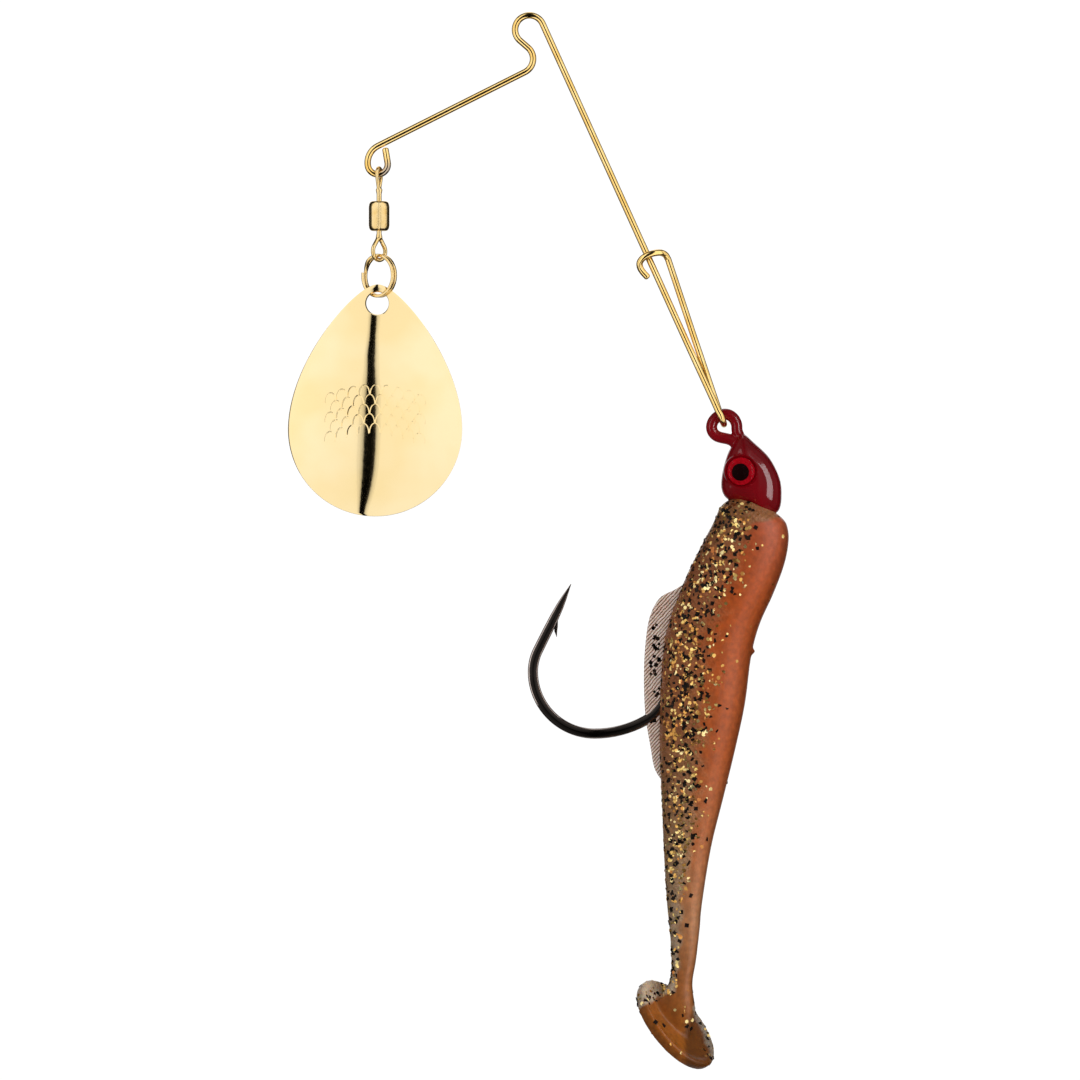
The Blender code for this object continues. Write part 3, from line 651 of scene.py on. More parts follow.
ring_across = Vector((cos(RING_YAW), sin(RING_YAW), 0))
ring_axial = Vector((-ring_across.y, ring_across.x, 0))
seats = []
for k in range((TURN_TO - TURN_FROM) // 5 + 1):
    gone = TURN_FROM + 5 * k
    blend = min(max((gone - JOG_FROM) / (JOG_TO - JOG_FROM), 0), 1)
    shift = (STRIP + 0.03) / 2 * (2 * blend * blend * (3 - 2 * blend) - 1)
    angle = radians(gone + 150)
    out = ring_across * cos(angle) + Vector((0, 0, sin(angle)))
    seats.append(seat(RING_CENTRE + out * RING_R + ring_axial * shift, out, ring_axial))
ring = bmesh.new()
bmesh.ops.create_grid(ring, x_segments=1, y_segments=1, size=STRIP / 2, matrix=seats[0])
bmesh.ops.bevel(ring, geom=ring.verts[:], offset=0.13, segments=3, profile=0.5,
                affect="VERTICES", material=-1)
pulled(ring, seats)
piece("split_ring_strip", ring, gold_fitting, "ring", ["split_ring"], lights=GOLD)

# %% [markdown]
# ## Blade
# The blade is a teardrop of thin brass, stamped to a shallow bowl that bulges to the front. It
# starts as a flat face whose edge is pushed to the teardrop, is ringed with insets so that it can
# bend, and is then dished. The bowl has to be smooth to the second degree, because a mirror
# shows any kink in its slope.

# %% Blade shape
BLADE_R, BLADE_TOP = 11.7, 19.6   # the round lower half, and from its centre up to the top edge
SIDE_LOW, SIDE_HIGH = 9.07, 3.0   # Bezier handles of the teardrop's side
BLADE_CUP, BLADE_WALL = 3.0, 0.42
BOWL_X, BOWL_Z, BOWL_DOWN = 12.6, 14.0, 0.5
FLATTEST, FLATTEST_ABOVE, FLATTEST_BELOW = 4.5, 18.5, 6.0
HOLE_R, HOLE_UP = 1.52, 17.04
BLADE_HANG = 0.55                 # from the ring's wire up to the hole's top edge
BLADE_PIVOT = RING_CENTRE - Vector((0, 0, RING_R))
BLADE_TILT = radians(1.0)
RIDGE_TOP, RIDGE_LOW = -0.7, -2.2  # where the bowl runs level across, at the top and the bottom

blade_centre_z = BLADE_HANG - HOLE_R - HOLE_UP
blade_seat = (Matrix.Translation(BLADE_PIVOT - Vector((0.2, 0, 0)))
              @ Matrix.Rotation(BLADE_TILT, 4, "Y"))


def dished(x, z):
    """How far the bowl stands to the front at a place on the blade, as a -Y depth."""
    up = (z + BLADE_R) / (BLADE_R + BLADE_TOP)
    ridge = RIDGE_LOW + (RIDGE_TOP - RIDGE_LOW) * up
    near = x - ridge * max(0, 1 - (x / BLADE_R) ** 2)
    # Along the ridge the bowl is flattest a little below the middle, so a reflection is widest there
    low = (z + FLATTEST) / (FLATTEST_ABOVE if z > -FLATTEST else FLATTEST_BELOW)
    across_bend = 1 + (min(0.68 + low * low, 2.0) - 1) / (1 + (near / 3) ** 2)
    down = 1 - ((z + BOWL_DOWN) / BOWL_Z) ** 2
    level = (down + sqrt(down * down + 0.06)) / 2
    return -BLADE_CUP * (level - across_bend * (near / BOWL_X) ** 2 - 0.04)


blade = bmesh.new()
bmesh.ops.create_circle(blade, cap_ends=True, segments=120, radius=BLADE_R)
for vert in blade.verts:
    if vert.co.y > 0:
        side = copysign(1, vert.co.x)
        t = atan2(vert.co.y, abs(vert.co.x)) / (pi / 2)
        vert.co.x = side * (BLADE_R * ((1 - t) ** 3 + 3 * (1 - t) ** 2 * t)
                            + 3 * SIDE_HIGH * (1 - t) * t ** 2)
        vert.co.y = 3 * SIDE_LOW * (1 - t) ** 2 * t + BLADE_TOP * (3 * (1 - t) * t ** 2 + t ** 3)
RINGS = 40
rings = [k / RINGS for k in range(RINGS, 0, -1)]
pulled(blade, [Matrix.Diagonal((k, k, 1, 1)) for k in rings])
whole_faces = sorted((f for f in blade.faces if len(f.verts) > 50), key=lambda f: f.calc_area())
bmesh.ops.delete(blade, geom=whole_faces[1:], context="FACES_ONLY")
bmesh.ops.poke(blade, faces=whole_faces[:1])
for vert in blade.verts:
    x, z = vert.co.x, vert.co.y
    vert.co = Vector((x, dished(x, z), z + blade_centre_z))

# %% Blade wall and hole
punch = bmesh.new()
hole_at = Vector((0, 0, BLADE_HANG - HOLE_R))
hole_seats = [seat(hole_at + across * y, Vector((1, 0, 0)), Vector((0, 0, -1)), (k, k, 1))
              for y, k in ((-3.0, 1.66), (-0.12, 1.66), (0.02, 1.55), (0.12, HOLE_R), (4.0, HOLE_R))]
bmesh.ops.create_circle(punch, cap_ends=True, segments=64, radius=1, matrix=hole_seats[0])
pulled(punch, hole_seats)
bmesh.ops.recalc_face_normals(punch, faces=punch.faces)
punch_mesh = bpy.data.meshes.new("punch")
punch.to_mesh(punch_mesh)
punch.free()
punch_obj = bpy.data.objects.new("punch", punch_mesh)
bpy.context.scene.collection.objects.link(punch_obj)
blade = shaped(blade, ("SOLIDIFY", {"thickness": BLADE_WALL, "offset": 0.0}),
               ("BEVEL", {"width": 0.07, "segments": 2, "limit_method": "ANGLE",
                          "angle_limit": radians(55)}),
               ("BOOLEAN", {"operation": "DIFFERENCE", "solver": "EXACT", "object": punch_obj}))
bpy.data.objects.remove(punch_obj)
bmesh.ops.transform(blade, matrix=blade_seat, verts=blade.verts)
piece("blade_plate", blade, gold_plate, "blade", ["blade"], lights=("blade",))

# %% [markdown]
# A stamped band of plain fish scales crosses the middle of the blade in five staggered, arched
# rows. Each scale is a fine arc half sunk in the bowl, so it catches the light on one side.

# %% Blade emboss
EMBOSS_R, EMBOSS_STAND = 0.09, 0.055
SCALE_WIDE, SCALE_TALL = 1.5, 1.3
SCALE_ROWS = 5
SCALE_TOP, SCALE_ARCH = 4.7, 1.2  # the top row's height and how far each row is arched
marks = []
for row in range(SCALE_ROWS):
    count = 9 - row % 2
    for k in range(count):
        middle_x = (k - (count - 1) / 2) * SCALE_WIDE
        base_z = SCALE_TOP - row * SCALE_TALL - SCALE_ARCH * (middle_x / 6) ** 2
        arc = []
        for n in range(11):
            x = middle_x + SCALE_WIDE * 0.47 * cos(pi * n / 10)
            z = base_z + SCALE_TALL * sin(pi * n / 10)
            front = dished(x, z) - BLADE_WALL / 2 + EMBOSS_R - EMBOSS_STAND
            arc.append(Vector((x, front, z + blade_centre_z)))
        marks.append(rod(arc, EMBOSS_R, 8))
emboss = joined(*marks)
bmesh.ops.transform(emboss, matrix=blade_seat, verts=emboss.verts)
piece("blade_scale_marks", emboss, gold_plate, "blade", lights=("blade",))

# %% [markdown]
# ## Hook
# The hook is one wire from the jig's eye through the head and the minnow. It leaves the back,
# sweeps round a wide bend and ends in a long tapered spear. The barb is a sliver that the maker
# lifts off the inner side of the spear with a chisel.

# %% Hook
HOOK_R = 0.70
SHANK_TOP, SHANK_HEADING = (29.9, -63.8), 246.25
HOOK_BEND = [("run", 29.09), ("bend", 6.0, -37.25), ("bend", 14.0, -29.0), ("bend", 8.35, -90.0),
             ("bend", 6.5, -26.5), ("run", 10.0)]

hook_line = bend(SHANK_TOP, SHANK_HEADING, HOOK_BEND, 4)
spear = hook_line.pop()
root = hook_line[-1]
taper = ((0.3, 0.97), (0.5, 0.9), (0.66, 0.76), (0.8, 0.52), (0.92, 0.24), (1.0, 0.06))
radii = [HOOK_R] * len(hook_line) + [HOOK_R * k for _, k in taper]
hook_line += [root.lerp(spear, t) for t, _ in taper]
hook = rod(hook_line, radii, 24, "first")
barb = rod(flat([(3.75, -79.6), (3.58, -80.5), (3.55, -81.2), (3.68, -81.95)]),
           [0.10, 0.27, 0.2, 0.03], 10)
piece("hook_black", joined(hook, barb), black_nickel, "jig", ["jig_hook"],
      lights=("hook",))

# %% [markdown]
# ## Jig head
# The head is a lead casting in thick red enamel. Its eye is part of the hook's wire, but the dip
# coats that too, so loop, neck and head are one red skin here. The loop is P-shaped: its right
# limb runs straight down into the head and its lower limb comes back to the neck.

# %% Head shell
HEAD_HALF = 2.58
HEAD_OUTLINE = [(28.55, -54.45), (30.40, -55.80), (32.45, -57.85), (33.80, -60.60),
                (34.05, -63.00), (33.75, -64.75), (32.90, -65.45), (31.70, -65.62),
                (30.60, -64.75), (28.60, -64.00), (26.70, -63.35), (25.92, -62.00), (26.00, -60.00),
                (26.55, -57.80), (27.25, -56.25)]
HEAD_LEVELS = [(0.30, -1.0), (0.55, -0.95), (0.74, -0.82), (0.88, -0.58), (0.97, -0.28),
               (1.0, 0.0), (0.97, 0.28), (0.88, 0.58), (0.74, 0.82), (0.55, 0.95), (0.30, 1.0)]
CHEEK = Vector((28.50, 0, -59.62))
HEAD_MIDDLE = Vector((29.5, 0, -60.4))

head = bmesh.new()
edge = smooth(flat(HEAD_OUTLINE), 5, cyclic=True)
seats = [Matrix.Translation(HEAD_MIDDLE + across * HEAD_HALF * y) @ Matrix.Diagonal((k, 1, k, 1))
         for k, y in HEAD_LEVELS]
head.faces.new([head.verts.new(seats[0] @ (point - HEAD_MIDDLE)) for point in edge])
pulled(head, seats)

LOOP_LINE = [(29.1, -57.6), (28.72, -56.3), (28.38, -55.1), (28.02, -54.1), (27.97, -53.3),
             (27.6, -52.5), (26.95, -52.0), (26.2, -51.9), (25.4, -52.2), (24.8, -52.85), (24.58, -53.6),
             (24.75, -54.3), (25.25, -54.82), (25.95, -55.07), (26.7, -55.22), (27.4, -55.5),
             (28.3, -56.2)]
loop = rod(smooth(flat(LOOP_LINE), 5), 0.77, 20)
cheeks = bmesh.new()
cheek_levels = [(1.6, -2.60), (1.95, -2.55), (2.18, -2.40), (2.32, -2.1), (2.32, 2.1),
                (2.18, 2.40), (1.95, 2.55), (1.6, 2.60)]
cheek_seats = [seat(CHEEK + across * y, Vector((1, 0, 0)), Vector((0, 0, -1)), (k, k, 1))
               for k, y in cheek_levels]
bmesh.ops.create_circle(cheeks, cap_ends=True, segments=48, radius=1, matrix=cheek_seats[0])
pulled(cheeks, cheek_seats)
head = fused(joined(head, loop, cheeks), 0.10, 5)

# %% [markdown]
# A shallow conical socket is sunk into each cheek for the eye. The cutters are spun cones, and
# the Boolean leaves a crisp lip like the edge of the real recess.

# %% Eye sockets
SOCKET = [(0.0, 1.95), (1.91, 1.95), (1.96, 2.1), (2.5, 2.85), (2.5, 4.0), (0.0, 4.0)]
cutters = []
for sign in (-1, 1):
    cone = turned(SOCKET, (0, 0, 0))
    bmesh.ops.transform(cone, matrix=Matrix.Translation(CHEEK)
                        @ Matrix.Rotation(-sign * pi / 2, 4, "X"), verts=cone.verts)
    cutters.append(cone)
cutter_mesh = bpy.data.meshes.new("sockets")
joined(*cutters).to_mesh(cutter_mesh)
cutter = bpy.data.objects.new("sockets", cutter_mesh)
bpy.context.scene.collection.objects.link(cutter)
head = shaped(head, ("BOOLEAN", {"operation": "DIFFERENCE", "solver": "EXACT",
                                 "object": cutter}))
bpy.data.objects.remove(cutter)
piece("head_enamel", head, red_enamel, "jig", ["jig_head"], sharp=50,
      lights=("head",))

# %% Eyes
FOIL_R, FOIL_WALL, FOIL_FLOOR = 1.88, 0.18, 2.01
PUPIL_R, PUPIL_SHIFT = 1.17, (-0.10, -0.12)
DOME_R, DOME_HEIGHT, DOME_BASE = 1.88, 0.62, 2.25


def facing_out(bm, sign, centre):
    """Turns a bmesh drawn about +Z to face out of the left (+1) or right (-1) cheek."""
    bmesh.ops.transform(bm, matrix=Matrix.Translation(centre)
                        @ Matrix.Rotation(-sign * pi / 2, 4, "X"), verts=bm.verts)
    return bm


for side_name, sign in (("right", -1), ("left", 1)):
    foil = turned([(0, 0), (FOIL_R - 0.03, 0), (FOIL_R, 0.03), (FOIL_R, FOIL_WALL - 0.04),
                   (FOIL_R - 0.04, FOIL_WALL), (0, FOIL_WALL)], (0, 0, 0))
    piece(f"foil_{side_name}", facing_out(foil, sign, CHEEK + across * sign * FOIL_FLOOR),
          red_foil, "jig", [f"eye_foil_{side_name}"])
    shift = Vector((PUPIL_SHIFT[0], 0, PUPIL_SHIFT[1]))
    pupil = turned([(0, 0), (PUPIL_R, 0), (PUPIL_R, 0.03), (PUPIL_R - 0.02, 0.045), (0, 0.045)],
                   (0, 0, 0))
    ink = CHEEK + shift + across * sign * (FOIL_FLOOR + FOIL_WALL + 0.002)
    piece(f"pupil_{side_name}", facing_out(pupil, sign, ink), pupil_ink, "jig")
    dome = [(0, 0), (DOME_R - 0.05, 0), (DOME_R, 0.06)]
    dome += [(DOME_R * cos(a), 0.1 + DOME_HEIGHT * sin(a))
             for a in (radians(90 * k / 14) for k in range(14))]
    dome.append((0, 0.1 + DOME_HEIGHT))
    piece(f"dome_{side_name}", facing_out(turned(dome, (0, 0, 0)), sign,
                                          CHEEK + across * sign * DOME_BASE),
          clear_resin, "jig", [f"eye_dome_{side_name}"])

# %% [markdown]
# ## Minnow
# The minnow is poured soft plastic in two colours: a clear smoky back full of glitter laid over a
# milky orange belly. Its body, stalk and paddle are one skin. Sections that span from the back
# edge to the belly edge are drawn down the body, a dished disc is the paddle, and the voxel skin
# flows them together.

# %% Minnow skin
# Back edge, belly edge and half thickness, from the head down to the paddle
STATIONS = [
    ((27.6, -63.00), (32.9, -64.90), 2.0), ((26.2, -63.95), (34.2, -66.00), 3.3),
    ((25.6, -64.75), (34.8, -67.00), 4.0),
    ((24.6, -67.00), (35.0, -69.00), 4.4), ((22.5, -71.00), (34.4, -72.20), 4.6),
    ((20.4, -75.60), (32.9, -76.20), 4.6), ((18.7, -80.20), (31.1, -80.20), 4.5),
    ((17.95, -84.5), (29.95, -84.5), 4.4), ((17.55, -91.0), (29.1, -91.0), 4.2),
    ((17.55, -97.5), (27.7, -97.5), 3.8), ((17.85, -104.0), (26.1, -104.0), 3.2),
    ((18.1, -110.5), (24.5, -110.5), 2.5), ((18.55, -118.0), (23.3, -118.0), 1.95),
    ((18.9, -121.3), (23.0, -121.3), 1.7), ((19.15, -125.6), (22.5, -125.6), 1.5),
    ((18.9, -128.4), (22.0, -128.9), 1.5), ((17.4, -130.9), (22.4, -133.0), 1.8),
    ((16.0, -133.4), (21.4, -136.8), 1.2)]
backs = smooth(flat([s[0] for s in STATIONS]), 4)
bellies = smooth(flat([s[1] for s in STATIONS]), 4)
halves = [v.x for v in smooth([Vector((s[2], 0, 0)) for s in STATIONS], 4)]

seats = []
for back, belly, half in zip(backs, bellies, halves):
    reach = (belly - back) / 2
    seats.append(seat((back + belly) / 2, reach.normalized(), across, (reach.length, half, 1)))
flesh = bmesh.new()
bmesh.ops.create_circle(flesh, cap_ends=True, segments=40, radius=1, matrix=seats[0])
pulled(flesh, seats)

PADDLE = Vector((19.65, 0, -134.35))
paddle_long = Vector((0.64, 0, -0.768))
paddle_face = Vector((0.768 * cos(radians(30)), -0.5, 0.64 * cos(radians(30)))).normalized()
paddle_wide = paddle_face.cross(paddle_long).normalized()
PADDLE_LEVELS = [(0.80, -0.95), (0.93, -0.85), (0.985, -0.55), (1.0, 0.0), (1.0, 0.45),
                 (0.97, 0.80), (0.93, 0.90), (0.88, 0.80), (0.80, 0.55), (0.6, 0.40)]
seats = [seat(PADDLE + paddle_face * rise, paddle_long, paddle_wide, (7.12 * k, 5.2 * k, 1))
         for k, rise in PADDLE_LEVELS]
paddle = bmesh.new()
bmesh.ops.create_circle(paddle, cap_ends=True, segments=56, radius=1, matrix=seats[0])
pulled(paddle, seats)

nub = bmesh.new()
bmesh.ops.create_icosphere(nub, subdivisions=2, radius=0.42,
                           matrix=Matrix.Translation((30.05, -0.4, -83.9)))
skin = fused(joined(flesh, paddle, nub), 0.20, 5)
print("minnow skin:", len(skin.verts), "points")

# %% [markdown]
# The skin carries two numbers at each point, so that colour and glitter can follow the shape: how
# far it is past the line where the clear back gives way to the milky belly, and how far across the
# body it lies. The second also places a painted highlight band and painted shade near the belly edge.

# %% Body coordinates
def body_place(point):
    """How far across the body a point lies: 0 at the back edge and 1 at the belly."""
    z = point.z
    for i in range(len(backs) - 1):
        mid_low = (backs[i + 1].z + bellies[i + 1].z) / 2
        if z >= mid_low or i == len(backs) - 2:
            mid_high = (backs[i].z + bellies[i].z) / 2
            t = min(max((z - mid_high) / (mid_low - mid_high), 0), 1)
            back, belly = backs[i].lerp(backs[i + 1], t), bellies[i].lerp(bellies[i + 1], t)
            return (point.x - back.x) / (belly.x - back.x)
    return 0.5


PADDLE_FROM = -130.0              # the height below which the colours follow the paddle
# Where the clear back gives way to the milky belly, as (height in mm, share across)
BOUNDARY = [(-64.0, 0.35), (-67.5, 0.40), (-75.0, 0.46), (-84.5, 0.48), (-90.0, 0.50),
            (-104.0, 0.54), (-111.4, 0.49), (-119.5, 0.36), (-125.6, 0.24), (-135.0, 0.20)]


def boundary(z):
    """The share across where back turns to belly at a height."""
    for (z0, u0), (z1, u1) in zip(BOUNDARY, BOUNDARY[1:]):
        if z >= z1:
            return u0 + (u1 - u0) * min(max((z - z0) / (z1 - z0), 0), 1)
    return BOUNDARY[-1][1]


def clear_patch(x, z):
    """How far inside the paddle's clear patches a point lies, in mm: upper left, or right edge."""
    return max(z + 131.6 - (x - 15.3) * 0.49,
               min((x - 22.3 - (-132.6 - z) * 0.38) * 0.7, -131.8 - z))


SHOULDER_CLEAR = 66.9              # above this depth in mm the clear plastic wraps the shoulder
skin.verts.layers.float.new("belly")
width = skin.verts.layers.float.new("width")
layer = skin.verts.layers.float["belly"]   # adding a layer moves the ones before it
for vert in skin.verts:
    if vert.co.z < PADDLE_FROM:
        share_belly = 0.5 - clear_patch(vert.co.x, vert.co.z) * 0.5
    else:
        share_belly = body_place(vert.co) - boundary(vert.co.z) + 0.5
        share_belly -= max(0, vert.co.z + SHOULDER_CLEAR) * 0.45
    vert[layer] = min(max(share_belly, 0), 1)
    vert[width] = body_place(vert.co)

# %% [markdown]
# ### Soft plastic
# Plastisol is soft PVC: a wet-looking gloss skin over a cloudy body that light enters. The belly
# shade turns from red-orange at the shoulders to pale tan at the tail, and the back is a smoky
# olive brown with a fine diamond hatch cut in the mould.

# %% Soft plastic
soft_plastic, tree, shader, place = finish(
    "soft_plastisol", Roughness=0.45, Coat_Weight=0.35, Coat_Roughness=0.34,
    Subsurface_Weight=0.25, Subsurface_Radius=(1.0, 0.45, 0.2), Subsurface_Scale=0.0012,
    Specular_IOR_Level=0.3)
across_it = add(tree, "ShaderNodeAttribute", attribute_name="belly").outputs["Fac"]
down = add(tree, "ShaderNodeSeparateXYZ", {"Vector": place}).outputs["Z"]
length = add(tree, "ShaderNodeMapRange", {"Value": down, "From Min": -64.0, "From Max": -140.0})
belly_tone = add(tree, "ShaderNodeValToRGB", {"Fac": length.outputs[0]}, stops=[
    (0.0, linear("C8603A")), (0.16, linear("CC5C1C")), (0.45, linear("CC6428")),
    (0.62, linear("D07C48")), (0.74, linear("D29060")), (0.83, linear("BC7440")),
    (0.92, linear("B0641C"))])
back_tone = add(tree, "ShaderNodeValToRGB", {"Fac": length.outputs[0]}, stops=[
    (0.0, linear("AC744A")), (0.12, linear("BE7248")), (0.4, linear("BE764A")),
    (0.62, linear("CC9C70")), (0.78, linear("E0BE9C")), (0.88, linear("E8CDB0")),
    (0.95, linear("E0C8B0"))])
cloud = add(tree, "ShaderNodeTexNoise", {"Vector": place, "Scale": 0.55, "Detail": 4.0})
shade = add(tree, "ShaderNodeMath", {0: cloud.outputs["Fac"], 1: 0.5, 2: -0.25},
            operation="MULTIPLY_ADD")
edge_at = add(tree, "ShaderNodeMath", {0: across_it, 1: shade.outputs[0]}, operation="ADD")
milk = add(tree, "ShaderNodeMapRange", {"Value": edge_at.outputs[0], "From Min": 0.38,
                                        "From Max": 0.66}, interpolation_type="SMOOTHSTEP")
two_tone = add(tree, "ShaderNodeMix", {"Factor": milk.outputs[0]}, data_type="RGBA")
tree.links.new(back_tone.outputs["Color"], two_tone.inputs[6])
tree.links.new(belly_tone.outputs["Color"], two_tone.inputs[7])
mottle = add(tree, "ShaderNodeTexNoise", {"Vector": place, "Scale": 1.3, "Detail": 5.0})
dirt = add(tree, "ShaderNodeMapRange", {"Value": mottle.outputs["Fac"], "From Min": 0.3,
                                        "From Max": 0.7, "To Min": 0.84, "To Max": 1.22})
mottled = multiplied(tree, two_tone.outputs[2], dirt.outputs[0])
wide_at = add(tree, "ShaderNodeAttribute", attribute_name="width").outputs["Fac"]
# Painted light: the colour is lightest in a band just inside the belly edge, a painted highlight, and turns
# darker towards the belly edge and a little over the back, as painted shade.
painted_highlight_and_shade = add(tree, "ShaderNodeValToRGB", {"Fac": wide_at}, stops=[
    (0.45, 0.90), (0.66, 0.94), (0.76, 1.0), (0.82, 1.0), (0.90, 0.86), (0.95, 0.55), (1.0, 0.42)])
colour_with_painted_light = multiplied(tree, mottled, painted_highlight_and_shade.outputs["Color"])
tree.links.new(colour_with_painted_light, shader.inputs["Base Color"])
HATCH = 0.55                      # mm between hatch lines, twice the mould's, so that they show
lines = []
for lean in (38, -52):
    turned_place = add(tree, "ShaderNodeMapping", {"Vector": place,
                                                   "Rotation": (0, radians(lean), 0)})
    lines.append(add(tree, "ShaderNodeTexWave",
                     {"Vector": turned_place.outputs["Vector"], "Scale": pi / (10 * HATCH),
                      "Distortion": 1.2, "Detail": 2.0}, bands_direction="X"))
hatch = add(tree, "ShaderNodeMath", {0: lines[0].outputs["Fac"], 1: lines[1].outputs["Fac"]},
            operation="MAXIMUM")
on_back = add(tree, "ShaderNodeMath", {0: 1.0, 1: milk.outputs[0]}, operation="SUBTRACT")
hatch_here = add(tree, "ShaderNodeMath", {0: hatch.outputs[0], 1: on_back.outputs[0]},
                 operation="MULTIPLY")
bump(tree, shader, (hatch_here.outputs[0], 0.00012, 0.6), (cloud.outputs["Fac"], 0.00025, 0.25))

TAIL_BLEND = ("jig", "tail", (20.9, 0, -116.6), (20.9, 0, -121.6))
skin_faces = [(f.calc_area(), f.calc_center_median(), f.normal.copy()) for f in skin.faces]
piece("minnow_skin", skin, soft_plastic, TAIL_BLEND,
      ["minnow_body", "minnow_tail"], sharp=180, lights=("right",))

# %% [markdown]
# ### Back fin
# The fin is a thin clear web of the same plastic, ribbed with fine slanting lines. A flat
# outline is given its thickness, and its free edge is rounded off.

# %% Back fin
FIN = [(21.5, -75.0), (19.4, -75.7), (17.5, -76.8), (16.2, -79.4), (15.6, -83.5), (15.45, -88.0),
       (15.65, -92.5), (16.3, -96.6), (17.0, -100.0), (18.6, -101.5), (20.5, -99.0), (20.8, -88.0),
       (20.9, -80.0)]
FIN_HALF = 0.45
fin = bmesh.new()
fin.faces.new([fin.verts.new(point - across * FIN_HALF) for point in smooth(flat(FIN), 5, True)])
pulled(fin, [Matrix.Translation(across * y) for y in (-FIN_HALF, FIN_HALF)])
rims = [e for e in fin.edges if abs(e.verts[0].co.y - e.verts[1].co.y) < 1e-6]
bmesh.ops.bevel(fin, geom=rims, offset=0.28, segments=3, profile=0.5, affect="EDGES", material=-1)

clear_web, tree, shader, place = finish(
    "clear_pink_plastisol", Roughness=0.3, Coat_Weight=0.5, Coat_Roughness=0.1, Alpha=0.85,
    Subsurface_Weight=0.2, Subsurface_Radius=(1.0, 0.6, 0.4), Subsurface_Scale=0.0008)
RIB = 0.36                        # mm from rib to rib
slant = add(tree, "ShaderNodeMapping", {"Vector": place, "Rotation": (0, radians(-42), 0)})
ribs = add(tree, "ShaderNodeTexWave", {"Vector": slant.outputs["Vector"],
                                       "Scale": pi / (10 * RIB), "Distortion": 3.0,
                                       "Detail": 3.0}, bands_direction="X")
streak = add(tree, "ShaderNodeTexNoise", {"Vector": slant.outputs["Vector"], "Scale": 1.2,
                                          "Detail": 4.0})
both = add(tree, "ShaderNodeMath", {0: ribs.outputs["Fac"], 1: streak.outputs["Fac"]},
           operation="MULTIPLY")
web_tone = add(tree, "ShaderNodeValToRGB", {"Fac": both.outputs[0]}, stops=[
    (0.0, linear("5A3420")), (0.10, linear("B08468")), (0.22, linear("F2D0BC")),
    (0.5, linear("FFEADE"))])
tree.links.new(web_tone.outputs["Color"], shader.inputs["Base Color"])
bump(tree, shader, (ribs.outputs["Fac"], 0.00008, 0.4))
piece("back_fin", fin, clear_web, "jig", sharp=60)

# %% [markdown]
# ### Glitter
# The back is loaded with two glitters: fine gold hexagons and coarser black squares. Each flake
# is a thin six- or four-sided plate laid on the skin at a slight random tilt, so that every one
# meets the light differently. They are thick along the back and thin out over the belly.

# %% Glitter
FLAKES_TRIED, FIN_FLAKES = 12500, 26
BLACK_SHARE = 0.36
FLAKE_TILT = 0.16
draws = random.Random(20)
areas = [area for area, _, _ in skin_faces]
gold_seats, black_seats = [], []


def flake_chance(point):
    """How thickly flakes lie at a point: 1 along the back, falling off past the boundary."""
    if point.z < PADDLE_FROM:
        inside = clear_patch(point.x, point.z)
        return (0.7 if point.x < 20 else 0.25) if inside > 0 else 0.12 if inside > -1 else 0.03
    past = body_place(point) - boundary(point.z)
    if past < -0.02:
        thin = 1.0 if past > -0.42 else 0.5
        return thin * (1.0 if point.z > -112 else 0.65)
    return 0.5 if past < 0.08 else 0.18 if past < 0.2 else 0.05 if past < 0.3 else 0.012


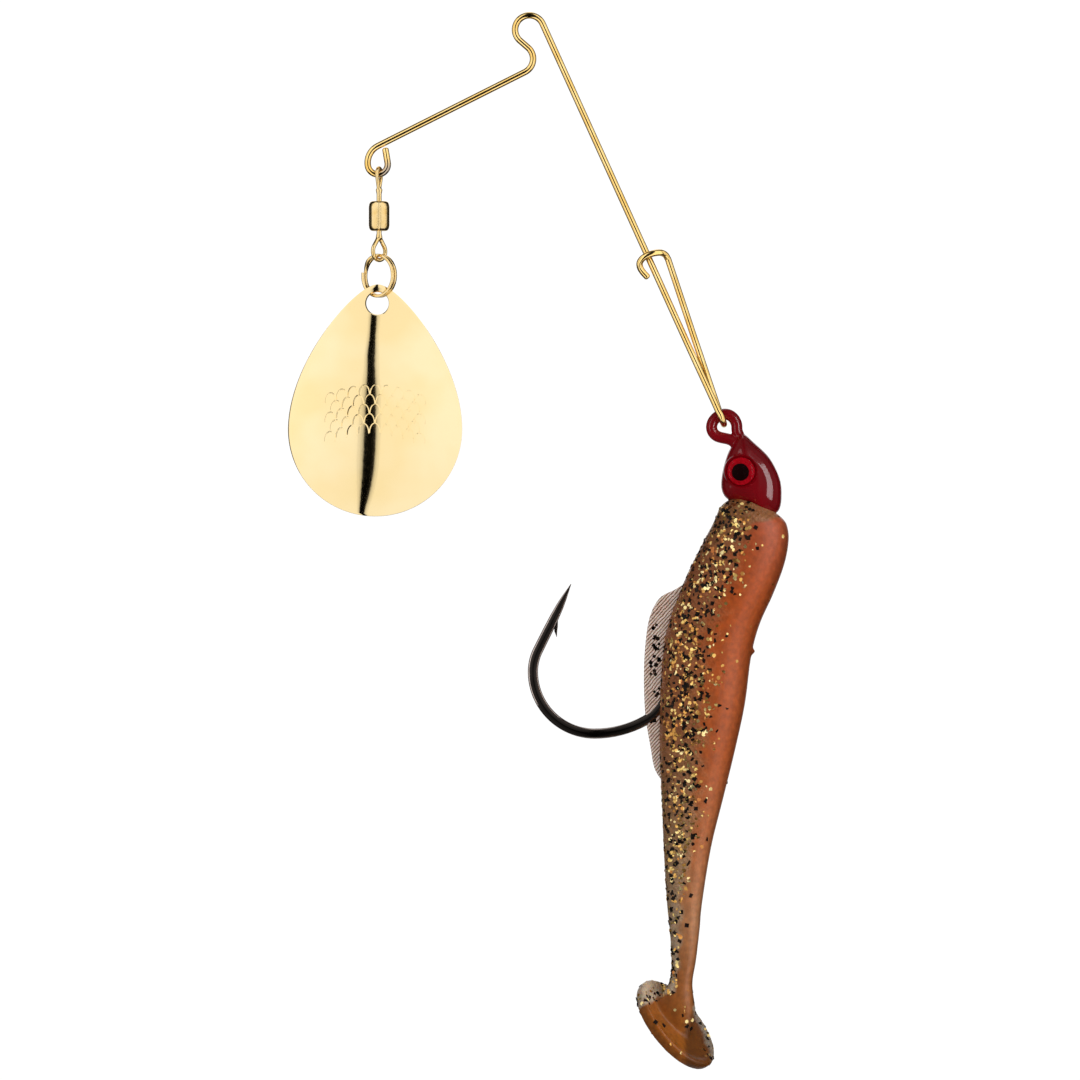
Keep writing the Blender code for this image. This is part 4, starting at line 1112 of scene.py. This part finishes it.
for _, centre, normal in draws.choices(skin_faces, weights=areas, k=FLAKES_TRIED):
    chance = draws.random()
    if chance > flake_chance(centre) * 0.66:
        continue
    black = draws.random() < BLACK_SHARE
    size = draws.uniform(0.26, 0.42) if black else draws.uniform(0.12, 0.31)
    tilt = Vector([draws.gauss(0, FLAKE_TILT) for _ in range(3)])
    out = (normal + tilt).normalized()
    side = out.orthogonal().normalized()
    spin = Matrix.Rotation(draws.uniform(0, 2 * pi), 4, "Z")
    lift = centre + normal * draws.uniform(-0.03, 0.01)
    (black_seats if black else gold_seats).append(seat(lift, side, out.cross(side), (size, size, 1))
                                                  @ spin)


for _ in range(FIN_FLAKES):                # and a few black ones in the clear fin
    size = draws.uniform(0.22, 0.38)
    stray = Vector((draws.uniform(16.3, 17.5), -FIN_HALF - 0.01, draws.uniform(-94, -80)))
    black_seats.append(seat(stray, Vector((1, 0, 0)), Vector((0, 0, -1)), (size, size, 1))
                       @ Matrix.Rotation(draws.uniform(0, 2 * pi), 4, "Z"))


def glitter(seats, sides):
    """All the flakes of one kind: each is a thin plate with a few faces."""
    bm = bmesh.new()
    for place_at in seats:
        made = bmesh.ops.create_circle(bm, cap_ends=True, segments=sides, radius=1,
                                       matrix=place_at)["verts"]
        face = made[0].link_faces[0]
        out = bmesh.ops.extrude_face_region(bm, geom=[face, *face.edges])["geom"]
        top = [item for item in out if isinstance(item, bmesh.types.BMVert)]
        bmesh.ops.translate(bm, vec=place_at.to_3x3() @ Vector((0, 0, 0.03)), verts=top)
    return bm


gold_flake, tree, shader, place = finish("gold_foil_glitter", Metallic=0.9, Roughness=0.28)
tone = add(tree, "ShaderNodeTexWhiteNoise", {"Vector": add(
    tree, "ShaderNodeVectorMath", {0: place, 1: (0.9, 0.9, 0.9)}, operation="SNAP").outputs[0]},
    noise_dimensions="3D")
tint = add(tree, "ShaderNodeValToRGB", {"Fac": tone.outputs["Value"]}, stops=[
    (0.0, linear("B86E3C")), (0.35, linear("D8A050")), (0.7, linear("EFCB78")),
    (1.0, linear("FFE9A8"))])
tree.links.new(tint.outputs["Color"], shader.inputs["Base Color"])
black_flake, tree, shader, place = finish("black_film_glitter", Roughness=0.55,
                                        Specular_IOR_Level=0.12)
tint = tinted(tree, place, 1.0, 2.0, (0.4, "100B08"), (0.7, "2A1C14"))
tree.links.new(tint, shader.inputs["Base Color"])
piece("gold_glitter", glitter(gold_seats, 6), gold_flake, TAIL_BLEND, sharp=30,
      lights=GOLD)
piece("black_glitter", glitter(black_seats, 4), black_flake, TAIL_BLEND, sharp=30)
print(len(gold_seats), "gold and", len(black_seats), "black flakes")
